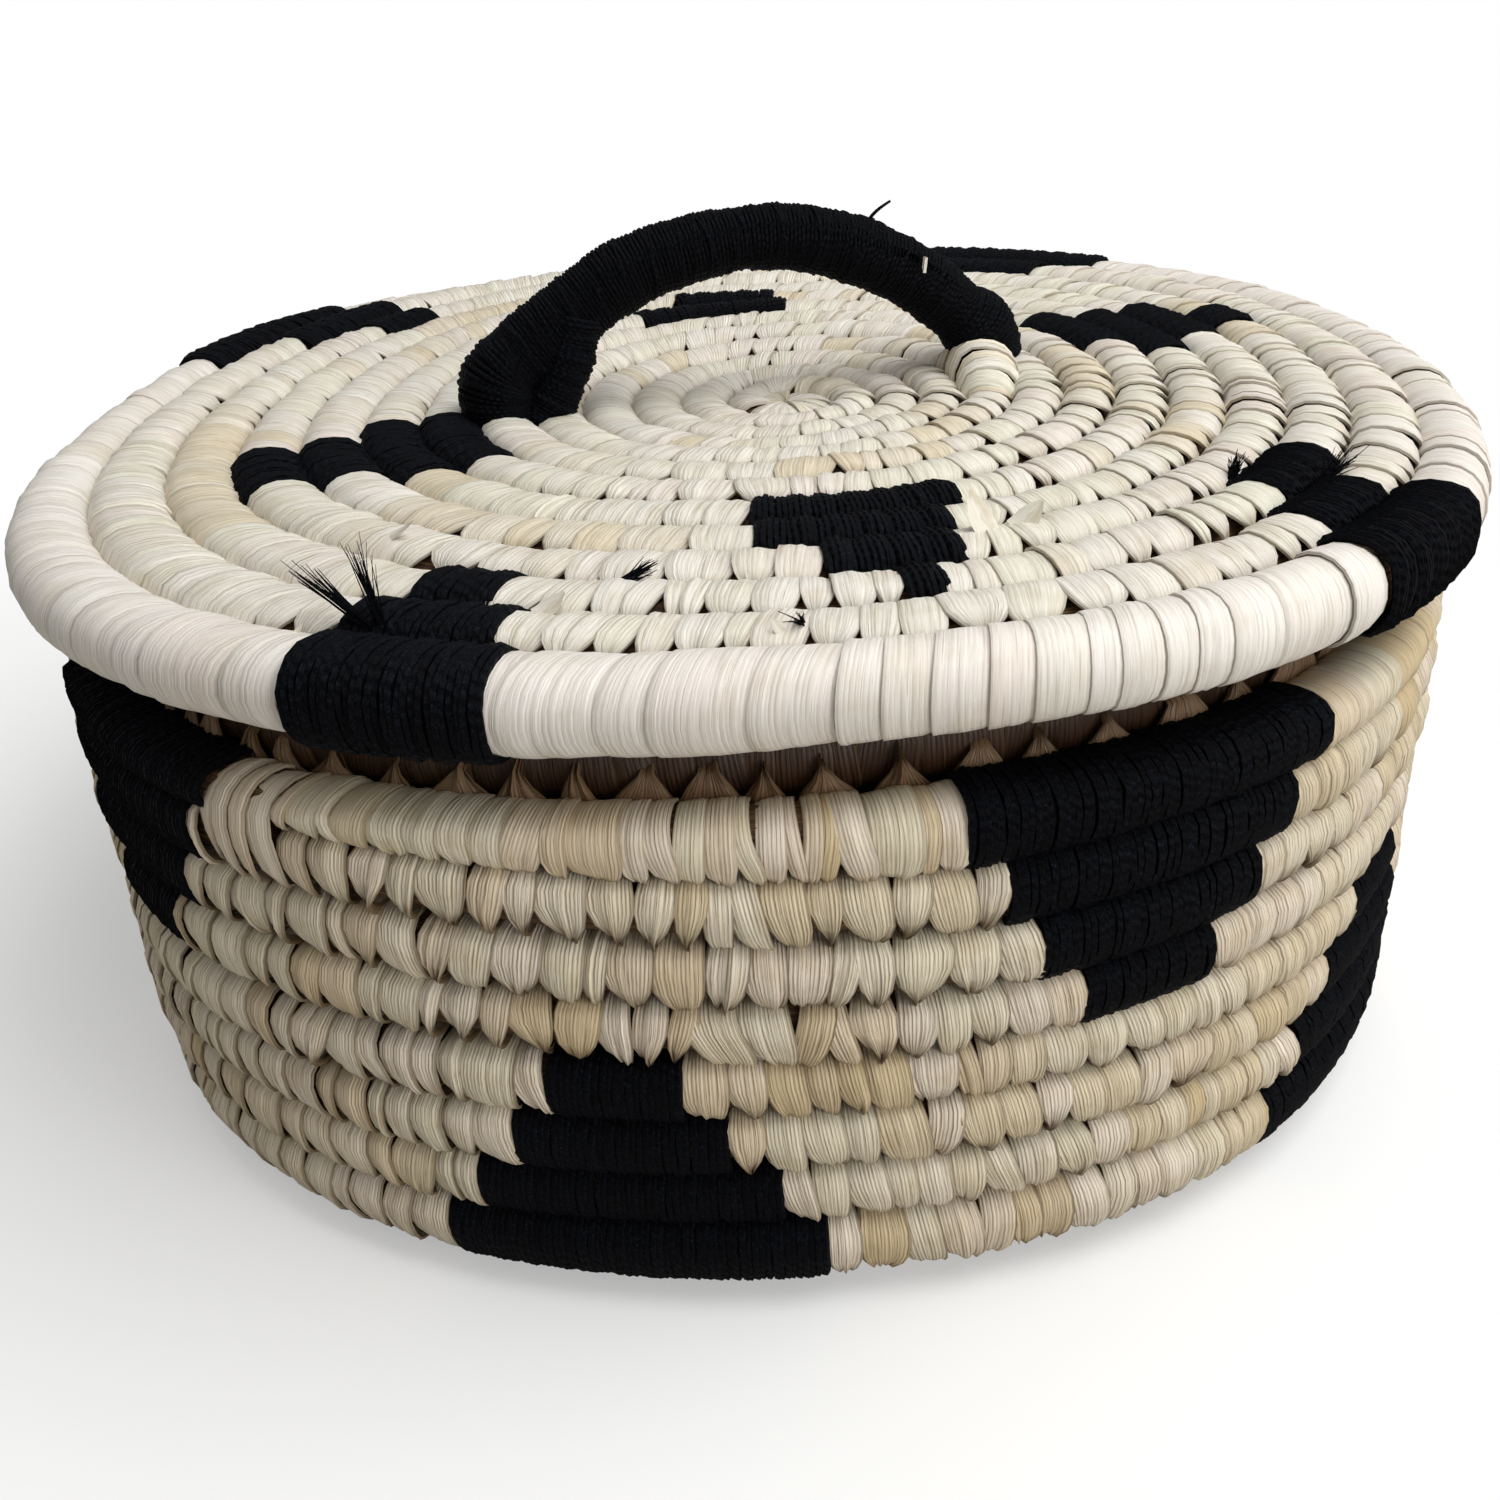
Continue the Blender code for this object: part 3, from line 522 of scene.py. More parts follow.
# At the front's left end the rim row thickens: its wraps run down over the row below as well
BULGE_DEGREES = (-126.6, -119.8)
BULGE_STRIP_WIDTH = 6.5 * MM
BULGE_HEIGHT = 88.0 * MM
BULGE_HALF_ROW = 8.8 * MM
BULGE_THICKNESS = 7.4 * MM
bulge_turns = [math.floor(BASKET_END_TURN) + degrees / 360 for degrees in BULGE_DEGREES]
bulge_turns = [turn - 1.0 if turn > BASKET_END_TURN else turn for turn in bulge_turns]


def hanging_spans(middle):
    """Spans in turns of a patch that hangs from the rim, top row first."""
    top_turn = BASKET_END_TURN - (BASKET_END_TURN - middle / 360) % 1.0
    return [(top_turn - row - half / 360, top_turn - row + half / 360)
            for row, half in enumerate(HANGING_HALF_WIDTHS)]


def standing_spans(middle):
    """Spans in turns of a patch that stands on the floor row, lowest row first."""
    past_front = (middle / 360 - FRONT_TURN) % 1.0
    if past_front > ROW_BELOW_SHARE:
        past_front -= 1.0
    floor_turn = FRONT_TURN + past_front
    return [(floor_turn + row - half / 360, floor_turn + row + half / 360)
            for row, half in enumerate(STANDING_HALF_WIDTHS)]


def stretches_between(spans, first, last):
    """What is left of a stretch of coil once the spans are taken out."""
    stretches = []
    here = first
    for start, end in sorted(spans):
        if end <= first or start >= last:
            continue
        if start > here:
            stretches.append((here, start))
        here = max(here, end)
    if here < last:
        stretches.append((here, last))
    return stretches


def strips_between(place, spans, first, last, width, draws, **settings):
    """Middles and half widths of the strips on a stretch of coil, with some spans left out."""
    runs = [strip_run(place, start, end, width, draws, **settings)
            for start, end in stretches_between(spans, first, last)]
    return [np.concatenate(values) for values in zip(*runs)]


wall_spans = [span for middle in HANGING_MIDDLES for span in hanging_spans(middle)]
wall_spans += [span for middle in STANDING_MIDDLES for span in standing_spans(middle)]
wall_spans += [(bulge_turns[0], bulge_turns[1]), (bulge_turns[0] - 1.0, bulge_turns[1] - 1.0)]
RIM_START_TURN = BASKET_END_TURN - 1.0

WALL_PIECES = 4
wall_ends = np.linspace(WALL_START_TURN, RIM_START_TURN, WALL_PIECES + 1)
for number, (first, last) in enumerate(zip(wall_ends, wall_ends[1:]), 1):
    draws = np.random.RandomState(20 + number)
    middles, half_widths = strips_between(basket_place, wall_spans, first, last,
                                          WALL_STRIP_WIDTH, draws)
    degrees = degrees_at(middles)
    pinched = (degrees > PINCHED_DEGREES[0]) & (degrees < PINCHED_DEGREES[1])
    pinched &= basket_place(middles)[0][:, 2] > PINCHED_ABOVE
    pinched ^= draws.uniform(size=len(middles)) < OTHER_KIND_SHARE
    for kind, chosen, shares, lean in (("pinched", pinched, STITCH_LOOP_SHARES, 0.0),
                                       ("smooth", ~pinched, SMOOTH_LOOP_SHARES, -0.9 * MM)):
        if not chosen.any():
            continue
        wraps = wrap_strips("wall_leaf_wraps_%s_%d" % (kind, number), basket_place, middles[chosen],
                            half_widths[chosen], draws, shares, bow=0.3 * MM, lean=lean,
                            crown=0.36 * MM, tilt=0.36 * MM, pleat=0.28 * MM, neck_spread=0.6)
        finish(wraps, wall_leaf, "basket", "palm_leaf", "wall_coil")

draws = np.random.RandomState(31)
middles, half_widths = strips_between(basket_place, wall_spans, RIM_START_TURN, BASKET_END_TURN,
                                      RIM_STRIP_WIDTH, draws, spread=0.35)
rim_wraps = wrap_strips("wall_rim_leaf_wraps", basket_place, middles, half_widths, draws,
                        RIM_LOOP_SHARES, bow=0.3 * MM, lean=-0.5 * MM, crown=0.18 * MM, tilt=0.26 * MM,
                        pleat=0.16 * MM)
finish(rim_wraps, wall_rim_leaf, "basket", "palm_leaf", "wall_coil")


def bulge_place(turn):
    """The rim's coil where it thickens over two rows, rounded off at its left end."""
    centre, shown, along, radius, _, _ = basket_place(turn)
    start, end = bulge_turns
    nose = np.sqrt(np.clip(0.5 + (turn - start) / (end - start) * 1.6, 0.5, 1.0))
    centre[..., 2] = BULGE_HEIGHT
    return centre, shown, along, radius, BULGE_THICKNESS * nose, BULGE_HALF_ROW * nose


draws = np.random.RandomState(33)
middles, half_widths = strip_run(bulge_place, *bulge_turns, BULGE_STRIP_WIDTH, draws)
bulge_wraps = wrap_strips("wall_rim_bulge_wraps", bulge_place, middles, half_widths, draws,
                          RIM_LOOP_SHARES, bow=0.3 * MM, crown=0.25 * MM, tilt=0.35 * MM)
finish(bulge_wraps, wall_rim_leaf, "basket", "palm_leaf", "wall_coil")
wall_grass = grass_core("wall_grass", basket_place, WALL_START_TURN, BASKET_END_TURN)
finish(wall_grass, grass, "basket", "grass", "wall_coil")


# Yarn on the wall. The patches are black wool wound round the same rows instead of leaf, five
# or six threads to a stitch hole, so they bunch a little. The wool is soft and fuzzy.

THREAD_RADIUS = 0.62 * MM
THREAD_SPACING = 1.02 * MM
THREADS_PER_STITCH = 5
THREAD_SIDES = 5
THREAD_PROUD = 0.15 * MM
THREAD_SHIFT = 0.12 * MM
THREAD_FUZZ = 0.10 * MM
WALL_YARN_LUMPS = 0.18 * MM
YARN_LOOP_SHARES = (
    (0.04, -1.05, 0.80), (0.42, -1.10, 0.85), (0.70, -0.93, 0.93), (0.90, -0.60, 0.98),
    (1.00, -0.20, 1.00), (1.01, 0.24, 1.00), (0.92, 0.62, 1.00), (0.68, 0.88, 0.98),
    (0.36, 1.00, 0.96), (0.00, 1.03, 0.95),
)


def wind_threads(name, place, spans, draws, lumps):
    """Wool threads wound round the coil over spans of turns, each one a closed ring.

    The threads of one stitch hole bunch, so the lumps rise between the holes' edges.
    """
    loop, outward = full_loop(YARN_LOOP_SHARES)
    centres, offsets = [], []
    for start, end in spans:
        radius = float(place(np.array([(start + end) / 2]))[3][0])
        length = (end - start) * math.tau * radius
        threads = max(2, round(length / THREAD_SPACING))
        lie = (np.arange(threads) + 0.5) / threads
        groups = max(1, round(threads / THREADS_PER_STITCH))
        group = np.minimum((lie * groups).astype(int), groups - 1)
        hole = (group + 0.5) / groups
        centres += list(start + (end - start) * hole)
        offsets += list((lie - hole) * length)
    centres, offsets = np.array(centres), np.array(offsets)
    count, around = len(centres), len(loop)
    offset = offsets[:, None] * loop[None, :, 2]
    offset = offset + draws.normal(size=(count, 1)) * THREAD_SHIFT
    offset = offset + THREAD_FUZZ * draws.normal(size=(count, around))
    bunch = lumps * (1 - (offsets / (THREAD_SPACING * THREADS_PER_STITCH / 2)) ** 2)
    lift = THREAD_PROUD + bunch[:, None] + THREAD_FUZZ * draws.normal(size=(count, around))
    angle = math.tau * np.arange(THREAD_SIDES) / THREAD_SIDES
    sideways = offset[:, :, None] + THREAD_RADIUS * 1.1 * np.cos(angle)
    outwards = lift[:, :, None] + THREAD_RADIUS * np.sin(angle)
    sideways, outwards = sideways[:, :, ::-1], outwards[:, :, ::-1]
    points = round_coil(place, centres, sideways, outwards, loop, outward)
    uv = np.zeros((count, around + 1, THREAD_SIDES + 1, 2))
    uv[..., 0] = np.arange(THREAD_SIDES + 1) / THREAD_SIDES
    uv[..., 1] = 1.9 * np.arange(around + 1)[None, :, None] + draws.uniform(0, 50, size=count)[:, None, None]
    shade = np.ones((count, around, THREAD_SIDES, 4))
    shade[..., 0] = draws.uniform(size=count)[:, None, None]
    shade[..., 2] = draws.uniform(size=count)[:, None, None]
    quads, corner_uv, colours = joined_grids(points, uv, shade)
    return mesh_object(name, points.reshape(-1, 3), quads, corner_uv, colours)


def black_wool(name):
    """Black wool: matt, blue-black, with a soft sheen, partly painted into its lightest fibres, and a fine
    twist along each thread.
    """
    yarn, shader = new_material(name)
    shade = node(yarn, "ShaderNodeVertexColor", layer_name="strip_shade")
    part = node(yarn, "ShaderNodeSeparateColor", {"Color": shade}).outputs
    place = node(yarn, "ShaderNodeUVMap", uv_map="strip")
    spot = node(yarn, "ShaderNodeSeparateXYZ", {"Vector": place}).outputs
    round_thread = node(yarn, "ShaderNodeMath", {0: spot["X"], 1: math.tau}, operation="MULTIPLY")
    phase = node(yarn, "ShaderNodeMath", {0: spot["Y"], 1: 4.4, 2: round_thread},
                 operation="MULTIPLY_ADD")
    twist = node(yarn, "ShaderNodeMath", {0: phase}, operation="SINE")
    coords = node(yarn, "ShaderNodeTexCoord").outputs
    fibres = node(yarn, "ShaderNodeTexNoise", {
        "Vector": coords["Object"], "Scale": 2600.0, "Detail": 3.0, "Roughness": 0.7})
    tone = node(yarn, "ShaderNodeValToRGB", {"Fac": fibres})
    # Fibre tones at random; the light blue-grey top stop is painted highlight, standing in for the wool's
    # sheen.
    colour_stops(tone, ((0.36, "#010102"), (0.54, "#040508"), (0.66, "#10131F"), (0.80, "#343B52")))
    each = node(yarn, "ShaderNodeMapRange", {0: part["Red"], 3: 0.7, 4: 1.3})
    toned = node(yarn, "ShaderNodeMix", {0: 1.0, 6: tone, 7: each}, data_type="RGBA",
                 blend_type="MULTIPLY")
    relief = node(yarn, "ShaderNodeMath", {0: fibres, 1: 1.5, 2: twist}, operation="MULTIPLY_ADD")
    bump = node(yarn, "ShaderNodeBump", {"Strength": 0.8, "Distance": 0.15 * MM, "Height": relief})
    wire(yarn, shader, {"Base Color": toned.outputs[2], "Normal": bump, "Roughness": 0.66,
                        "Specular IOR Level": 0.07, "Sheen Weight": 0.02, "Sheen Roughness": 0.5,
                        "Sheen Tint": linear("#5A6080")})
    return yarn


wool = black_wool("black_wool")
draws = np.random.RandomState(41)
for kind, all_middles, spans_of in (("hanging", HANGING_MIDDLES, hanging_spans),
                                    ("standing", STANDING_MIDDLES, standing_spans)):
    for number, middle in enumerate(all_middles, 1):
        patch = wind_threads("%s_yarn_%d" % (kind, number), basket_place, spans_of(middle), draws,
                             lumps=WALL_YARN_LUMPS)
        finish(patch, wool, "basket", "black_yarn", "wall_%s_patch_%d" % (kind, number))


# Lid. A second bundle winds from the eye to the thick rim row, wrapped in wider strips, coloured
# paler than the wall's: partly their own tone, partly painted light, as the lid's top faces the
# light above. On the front and right the strips narrow toward the row's outer edge, on the left and
# back toward its inner edge. The rim's strips are broad, smooth and lapped.

LID_RADIUS = 152.453 * MM
LID_ROW_PITCH = 13.0 * MM
LID_EYE_RADIUS = 8.5 * MM
LID_EYE_SHIFT = 9.6 * MM
LID_END_DEGREES = 100.0
LID_HEIGHT = 113.087 * MM
LID_HALF_THICKNESS = 7.0 * MM
LID_END_TURN = -LID_END_DEGREES / 360
LID_WOUND_RUN = LID_RADIUS + 0.325 * MM - LID_EYE_RADIUS
LID_TURNS = 12.3
LID_START_TURN = LID_END_TURN - LID_TURNS
# The rows are wider at the rim than at the eye
LID_LAST_PITCH = 13.7 * MM
LID_FIRST_PITCH = 2 * LID_WOUND_RUN / LID_TURNS - LID_LAST_PITCH
LID_DISH_DEPTH = 2.6 * MM
LID_DISH_SHARES = (0.12, 0.42)
LID_STRIP_WIDTH = 6.8 * MM
LID_RIM_STRIP_WIDTH = 8.4 * MM
LID_BACK_SHIFT = 1.35 * MM
LID_OUTLINE = ((0, -1.3 * MM, 0.0), (2, -1.9 * MM, 1.1 * MM), (3, 1.2 * MM, 0.6 * MM),
               (4, -3.5 * MM, 1.2 * MM))
LID_FRONT_RISE = 1.0 * MM
LID_WAVER = 0.4 * MM
LID_RIM_LOOP_SHARES = (
    (0.04, -1.03, 0.86), (0.42, -1.04, 0.90), (0.70, -0.86, 0.96), (0.88, -0.56, 1.00),
    (0.97, -0.18, 1.00), (0.96, 0.20, 1.00), (0.85, 0.54, 1.00), (0.64, 0.80, 1.00),
    (0.34, 0.97, 1.00), (0.00, 1.03, 1.00),
)
# On the rows inside the rim the strips hardly narrow on the left and back, and narrow in
# varying degree on the front and right
LID_LOOP_SHARES = (
    (0.04, -1.04, 0.34), (0.40, -1.10, 0.36), (0.66, -1.00, 0.58), (0.84, -0.80, 0.82),
    (0.96, -0.50, 0.96), (1.01, -0.04, 1.00), (0.97, 0.40, 1.00), (0.81, 0.74, 0.97),
    (0.46, 0.96, 0.92), (0.00, 1.02, 0.88),
)
LID_SMOOTH_LOOP_SHARES = (
    (0.04, -1.04, 0.62), (0.40, -1.10, 0.66), (0.68, -0.98, 0.78), (0.86, -0.74, 0.92),
    (0.97, -0.40, 1.00), (1.01, 0.00, 1.00), (0.97, 0.42, 1.00), (0.80, 0.76, 1.00),
    (0.44, 0.97, 0.98), (0.00, 1.02, 0.96),
)
LID_INNER_CENTRE = np.array((LID_EYE_SHIFT, 0.0, 0.0))
LID_OUTER_CENTRE = direction(np.array(math.radians(LID_END_DEGREES - 90))) * (LID_ROW_PITCH / 4)
LID_OUTER_CENTRE = LID_OUTER_CENTRE + np.array((0.0, LID_BACK_SHIFT, 0.0))
LID_DRIFT = (LID_OUTER_CENTRE - LID_INNER_CENTRE) / LID_TURNS


def lid_place(turn):
    """Centre, shown side, row direction, radius, half thickness and half row of the coil."""
    wound = turn - LID_START_TURN
    out = direction(-math.tau * turn)
    growth = (LID_LAST_PITCH - LID_FIRST_PITCH) / LID_TURNS
    pitch = LID_FIRST_PITCH + growth * wound
    radius = LID_EYE_RADIUS + (LID_FIRST_PITCH + growth * wound / 2) * wound
    centre = LID_INNER_CENTRE + LID_DRIFT * wound[..., None] + out * radius[..., None]
    share = tapered(turn, LID_END_TURN)
    offset = outline_offset(LID_OUTLINE, -math.tau * turn)
    centre = centre + out * (offset * (radius / LID_RADIUS) ** 2)[..., None]
    spread = 1 + 2 * offset * radius / LID_RADIUS ** 2
    half_row = (pitch + (out @ LID_DRIFT)) / 2 * spread
    sink = half_row * (1 - share)
    dish = LID_DISH_DEPTH * (1 - ease(radius / LID_RADIUS, *LID_DISH_SHARES))
    front_rise = LID_FRONT_RISE * (0.5 - out[..., 1] / 2) * (radius / LID_RADIUS) ** 2
    uneven = LID_WAVER * waver(turn, 7) + front_rise
    centre = centre - out * sink[..., None] + UP * (LID_HEIGHT - dish + uneven)[..., None]
    shown = np.zeros_like(centre) + UP
    thick = LID_HALF_THICKNESS * (0.4 + 0.6 * pitch / LID_LAST_PITCH) * share
    return centre, shown, out, radius, thick, half_row * share


# Yarn patches on the lid: row in from the rim, and its two ends in degrees from +X
LID_RIM_PATCHES = (
    ((0, -117.0, -105.5), (1, -118.0, -107.5), (2, -117.0, -110.5)),
    ((0, -53.0, -40.0), (1, -50.5, -42.0), (2, -46.5, -35.5)),
    ((0, 47.0, 70.0), (1, 52.0, 66.0)),
    ((0, 140.0, 163.0), (1, 137.0, 153.0), (2, 136.0, 145.0)),
)
LID_INNER_PATCHES = (
    ((3, -160.0, -148.0), (4, -160.5, -146.0), (5, -167.0, -142.0), (6, -168.0, -141.5)),
    ((2, -81.5, -78.5), (3, -87.0, -75.2), (4, -93.3, -73.4), (5, -94.4, -69.5)),
    ((2, 14.0, 20.5), (3, 11.0, 28.0), (4, 5.5, 29.0), (5, 12.0, 33.5)),
    ((4, 88.0, 106.0), (5, 86.0, 116.0)),
)


def lid_spans(rows):
    """Spans in turns of a patch on the lid, from its rows and their ends in degrees."""
    middle = (rows[0][1] + rows[0][2]) / 2
    rim_turn = LID_END_TURN - (LID_END_TURN + middle / 360) % 1.0
    shift = rim_turn + middle / 360
    return [(shift - end / 360 - row, shift - start / 360 - row) for row, start, end in rows]


lid_yarn_spans = [span for rows in LID_RIM_PATCHES + LID_INNER_PATCHES for span in lid_spans(rows)]
LID_RIM_START_TURN = LID_END_TURN - 1.0
LID_LEAF_STOPS = ((0.0, "#EEE8D9"), (0.22, "#F1ECE1"), (0.42, "#EEEAD8"), (0.60, "#F0E6DB"),
                  (0.80, "#F1EBDF"), (1.0, "#E7DAC0"))
LID_RIM_LEAF_STOPS = ((0.0, "#EFE7DC"), (0.30, "#F2ECE4"), (0.55, "#F0E6DC"), (0.80, "#F3EEE6"),
                      (1.0, "#E9DFCB"))
lid_leaf = palm_leaf("palm_leaf_lid", LID_LEAF_STOPS, "#A8946A", rib_width=0.80, strength=0.8, stain=0.30,
                     edge=0.40)
lid_rim_leaf = palm_leaf("palm_leaf_lid_rim", LID_RIM_LEAF_STOPS, "#AD9C7A", rib_width=0.80,
                         strength=0.55, stain=0.20, relief_depth=0.09 * MM, edge=0.30)


# The stretch where the strips narrow toward the row's outer edge
PINCHED_OUTWARD_DEGREES = (-125, 70)


def pinched_outward(turn):
    """Whether the strips at these turns lie on that stretch."""
    degrees = degrees_at(-turn)
    return (degrees > PINCHED_OUTWARD_DEGREES[0]) & (degrees < PINCHED_OUTWARD_DEGREES[1])


LID_PIECES = 3
lid_ends = np.linspace(LID_START_TURN, LID_RIM_START_TURN, LID_PIECES + 1)
for number, (first, last) in enumerate(zip(lid_ends, lid_ends[1:]), 1):
    draws = np.random.RandomState(50 + number)
    middles, half_widths = strips_between(lid_place, lid_yarn_spans, first, last,
                                          LID_STRIP_WIDTH, draws, spread=0.28)
    outer = pinched_outward(middles)
    for side, chosen, shares in (("outer", outer, LID_LOOP_SHARES),
                                 ("inner", ~outer, LID_SMOOTH_LOOP_SHARES)):
        wraps = wrap_strips("lid_leaf_wraps_%s_%d" % (side, number), lid_place, middles[chosen],
                            half_widths[chosen], draws, shares, flipped=side == "outer",
                            bow=0.5 * MM, lean=1.3 * MM, crown=0.28 * MM, pleat=0.20 * MM,
                            tilt=0.25 * MM, neck_spread=0.7)
        finish(wraps, lid_leaf, "lid", "palm_leaf", "lid_coil")

draws = np.random.RandomState(61)
middles, half_widths = strips_between(lid_place, lid_yarn_spans, LID_RIM_START_TURN, LID_END_TURN,
                                      LID_RIM_STRIP_WIDTH, draws, spread=0.33, overlap=1.2)
lid_rim_wraps = wrap_strips("lid_rim_leaf_wraps", lid_place, middles, half_widths, draws,
                            LID_RIM_LOOP_SHARES, bow=0.3 * MM, lean=1.7 * MM, crown=0.16 * MM,
                            tilt=0.20 * MM)
finish(lid_rim_wraps, lid_rim_leaf, "lid", "palm_leaf", "lid_coil")


# The eye itself is one small ring of narrow strips
EYE_KNOT_RADIUS = 4.2 * MM
EYE_KNOT_THICKNESS = 5.0 * MM
EYE_KNOT_HALF_ROW = 5.8 * MM
EYE_KNOT_STRIP_WIDTH = 1.9 * MM
EYE_KNOT_SHIFT = np.array((-0.9, -0.3, 0.0)) * MM
EYE_KNOT_DROP = 0.4 * MM


def eye_place(turn):
    """Centre, shown side, row direction, radius, half thickness and half row of the ring."""
    out = direction(-math.tau * turn)
    full = np.ones_like(turn)
    middle = LID_INNER_CENTRE + EYE_KNOT_SHIFT + UP * (LID_HEIGHT - LID_DISH_DEPTH - EYE_KNOT_DROP)
    centre = middle + out * EYE_KNOT_RADIUS
    shown = np.zeros_like(centre) + UP
    return centre, shown, out, EYE_KNOT_RADIUS * full, EYE_KNOT_THICKNESS * full, EYE_KNOT_HALF_ROW * full


draws = np.random.RandomState(62)
middles, half_widths = strip_run(eye_place, 0.0, 1.0, EYE_KNOT_STRIP_WIDTH, draws)
eye_wraps = wrap_strips("lid_eye_wraps", eye_place, middles, half_widths, draws, LID_SMOOTH_LOOP_SHARES,
                        flipped=True, bow=0.0, crown=0.25 * MM, pleat=0.10 * MM)
finish(eye_wraps, lid_leaf, "lid", "palm_leaf", "lid_coil")
lid_grass = grass_core("lid_grass", lid_place, LID_START_TURN, LID_END_TURN)
finish(lid_grass, grass, "lid", "grass", "lid_coil")


# Ring under the lid. Two rows of wrapped coil are sewn to the lid's underside. They drop into
# the basket's mouth and show, in shadow, in the gap between lid and rim. The lower row hangs
# from the upper one, so its pinches point up.

PLUG_ROW_PITCH = 12.0 * MM
PLUG_TURNS = 2
PLUG_TAPER_TURNS = 0.09
PLUG_END_SHARE = 0.08
PLUG_HALF_THICKNESS = 6.1 * MM
PLUG_SLIDE_RADIUS = 128.494 * MM
PLUG_FLARE = 0.8 * MM
PLUG_TOP_HEIGHT = 101.6 * MM
PLUG_STRIP_WIDTH = 7.0 * MM
PLUG_FAN_WIDTH = 8.5 * MM


def plug_place(turn):
    """Centre, shown side, row direction, radius, half thickness and half row of the coil."""
    out = direction(math.tau * turn)
    radius = PLUG_SLIDE_RADIUS + PLUG_FLARE * np.clip(1.0 + turn, 0.0, 1.0)
    radius = radius + outline_offset(WALL_OUTLINE, math.tau * turn)
    share = np.sqrt(np.clip((turn + PLUG_TURNS) / PLUG_TAPER_TURNS, PLUG_END_SHARE, 1.0))
    sink = PLUG_ROW_PITCH / 2 * (1 - share)
    centre = out * radius[..., None] + UP * (PLUG_TOP_HEIGHT + turn * PLUG_ROW_PITCH + sink)[..., None]
    along = np.zeros_like(centre) + UP
    return centre, out, along, radius, PLUG_HALF_THICKNESS * share, PLUG_ROW_PITCH / 2 * share


PLUG_FAN_LOOP_SHARES = (
    (0.20, -2.20, 0.06), (1.05, -2.32, 0.08), (1.34, -2.16, 0.14), (1.46, -1.84, 0.46),
    (1.44, -1.40, 0.92), (1.14, -0.50, 1.00), (1.00, 0.30, 1.00), (0.84, 0.70, 0.98),
    (0.46, 0.95, 0.92), (0.00, 1.02, 0.86),
)
# The ring is the same pale leaf as the rest; both its browns are painted shade, as it lies in the shadow
# under the lid.
ring_fan_leaf_painted_shade = palm_leaf("palm_leaf_fans_in_painted_shade", ((0.0, "#7E6248"), (0.5, "#9A7C5E"), (1.0, "#6C5038")),
                          "#2A1A0E", strength=1.2, stain=0.0, pinch=0.5)
ring_leaf_painted_shade = palm_leaf("palm_leaf_ring_in_painted_shade", ((0.0, "#34200F"), (0.5, "#472D1A"), (1.0, "#28180C")),
                      "#150C06", stain=0.0)
draws = np.random.RandomState(71)
for row_name, first, last, shares, leaf, width, overlap, pleat in (
        ("lower", -PLUG_TURNS, -1.0, PLUG_FAN_LOOP_SHARES, ring_fan_leaf_painted_shade, PLUG_FAN_WIDTH, 0.92, 0.45 * MM),
        ("upper", -1.0, 0.0, LID_SMOOTH_LOOP_SHARES, ring_leaf_painted_shade, PLUG_STRIP_WIDTH, 1.14, 0.15 * MM)):
    middles, half_widths = strip_run(plug_place, first, last, width, draws, spread=0.35, overlap=overlap)
    wraps = wrap_strips("plug_leaf_wraps_" + row_name, plug_place, middles, half_widths, draws,
                        shares, flipped=True, pleat=pleat)
    finish(wraps, leaf, "lid", "palm_leaf", "lid_plug_coil")
plug_grass = grass_core("plug_grass", plug_place, -PLUG_TURNS, 0.0)
finish(plug_grass, grass, "lid", "grass", "lid_plug_coil")


# Yarn on the lid. Wool patches at the rim go right round the rim row; those round the middle
# step across four rows.

LID_YARN_LUMPS = 0.50 * MM
draws = np.random.RandomState(81)
for kind, patches in (("rim", LID_RIM_PATCHES), ("inner", LID_INNER_PATCHES)):
    for number, rows in enumerate(patches, 1):
        patch = wind_threads("lid_%s_yarn_%d" % (kind, number), lid_place, lid_spans(rows), draws,
                             lumps=LID_YARN_LUMPS)
        finish(patch, wool, "lid", "black_yarn", "lid_%s_patch_%d" % (kind, number))


# Handle. A grass bundle arches over the lid's middle. Black wool is wound densely round it from
# foot to foot, and more wool, wound over the feet, lashes them to the lid.

LID_TOP = 120.565 * MM
LEFT_FOOT = np.array((-48.33, -10.06, 0.0)) * MM + UP * LID_TOP
RIGHT_FOOT = np.array((57.02, 14.94, 0.0)) * MM + UP * LID_TOP
CREST_HEIGHT = 27.6 * MM
# The arch's line, as shares of the way from left foot to right and of the crest's height
HANDLE_POINTS_SHARES = ((-0.030, -0.22), (-0.042, 0.04), (-0.026, 0.23), (0.022, 0.38), (0.066, 0.50),
                        (0.107, 0.60), (0.155, 0.72), (0.205, 0.83), (0.260, 0.915), (0.320, 0.975),
                        (0.400, 1.03), (0.470, 1.05), (0.540, 1.035), (0.610, 0.985), (0.694, 0.88),
                        (0.770, 0.74), (0.840, 0.57), (0.910, 0.34), (0.965, 0.14), (0.990, -0.10))
HANDLE_GIRTH_SHARES = (0.0, 0.2, 0.35, 0.5, 0.75, 1.0)
HANDLE_GIRTHS = (7.3 * MM, 7.1 * MM, 6.7 * MM, 6.1 * MM, 6.6 * MM, 6.4 * MM)
WOUND_THREAD_RADIUS = 0.55 * MM
WOUND_PITCH = 0.86 * MM
WOUND_STOPS = 22
HANDLE_LUMPS = 0.18 * MM
THREAD_END_RADIUS = 0.05 * MM
CORE_DEPTH = 0.3 * MM
CORE_END_RADIUS = 0.5 * MM


def points_at(spots, stops, values):
    """Points or directions between those known at the stops."""
    return np.stack([np.interp(spots, stops, values[:, axis]) for axis in range(3)], axis=1)


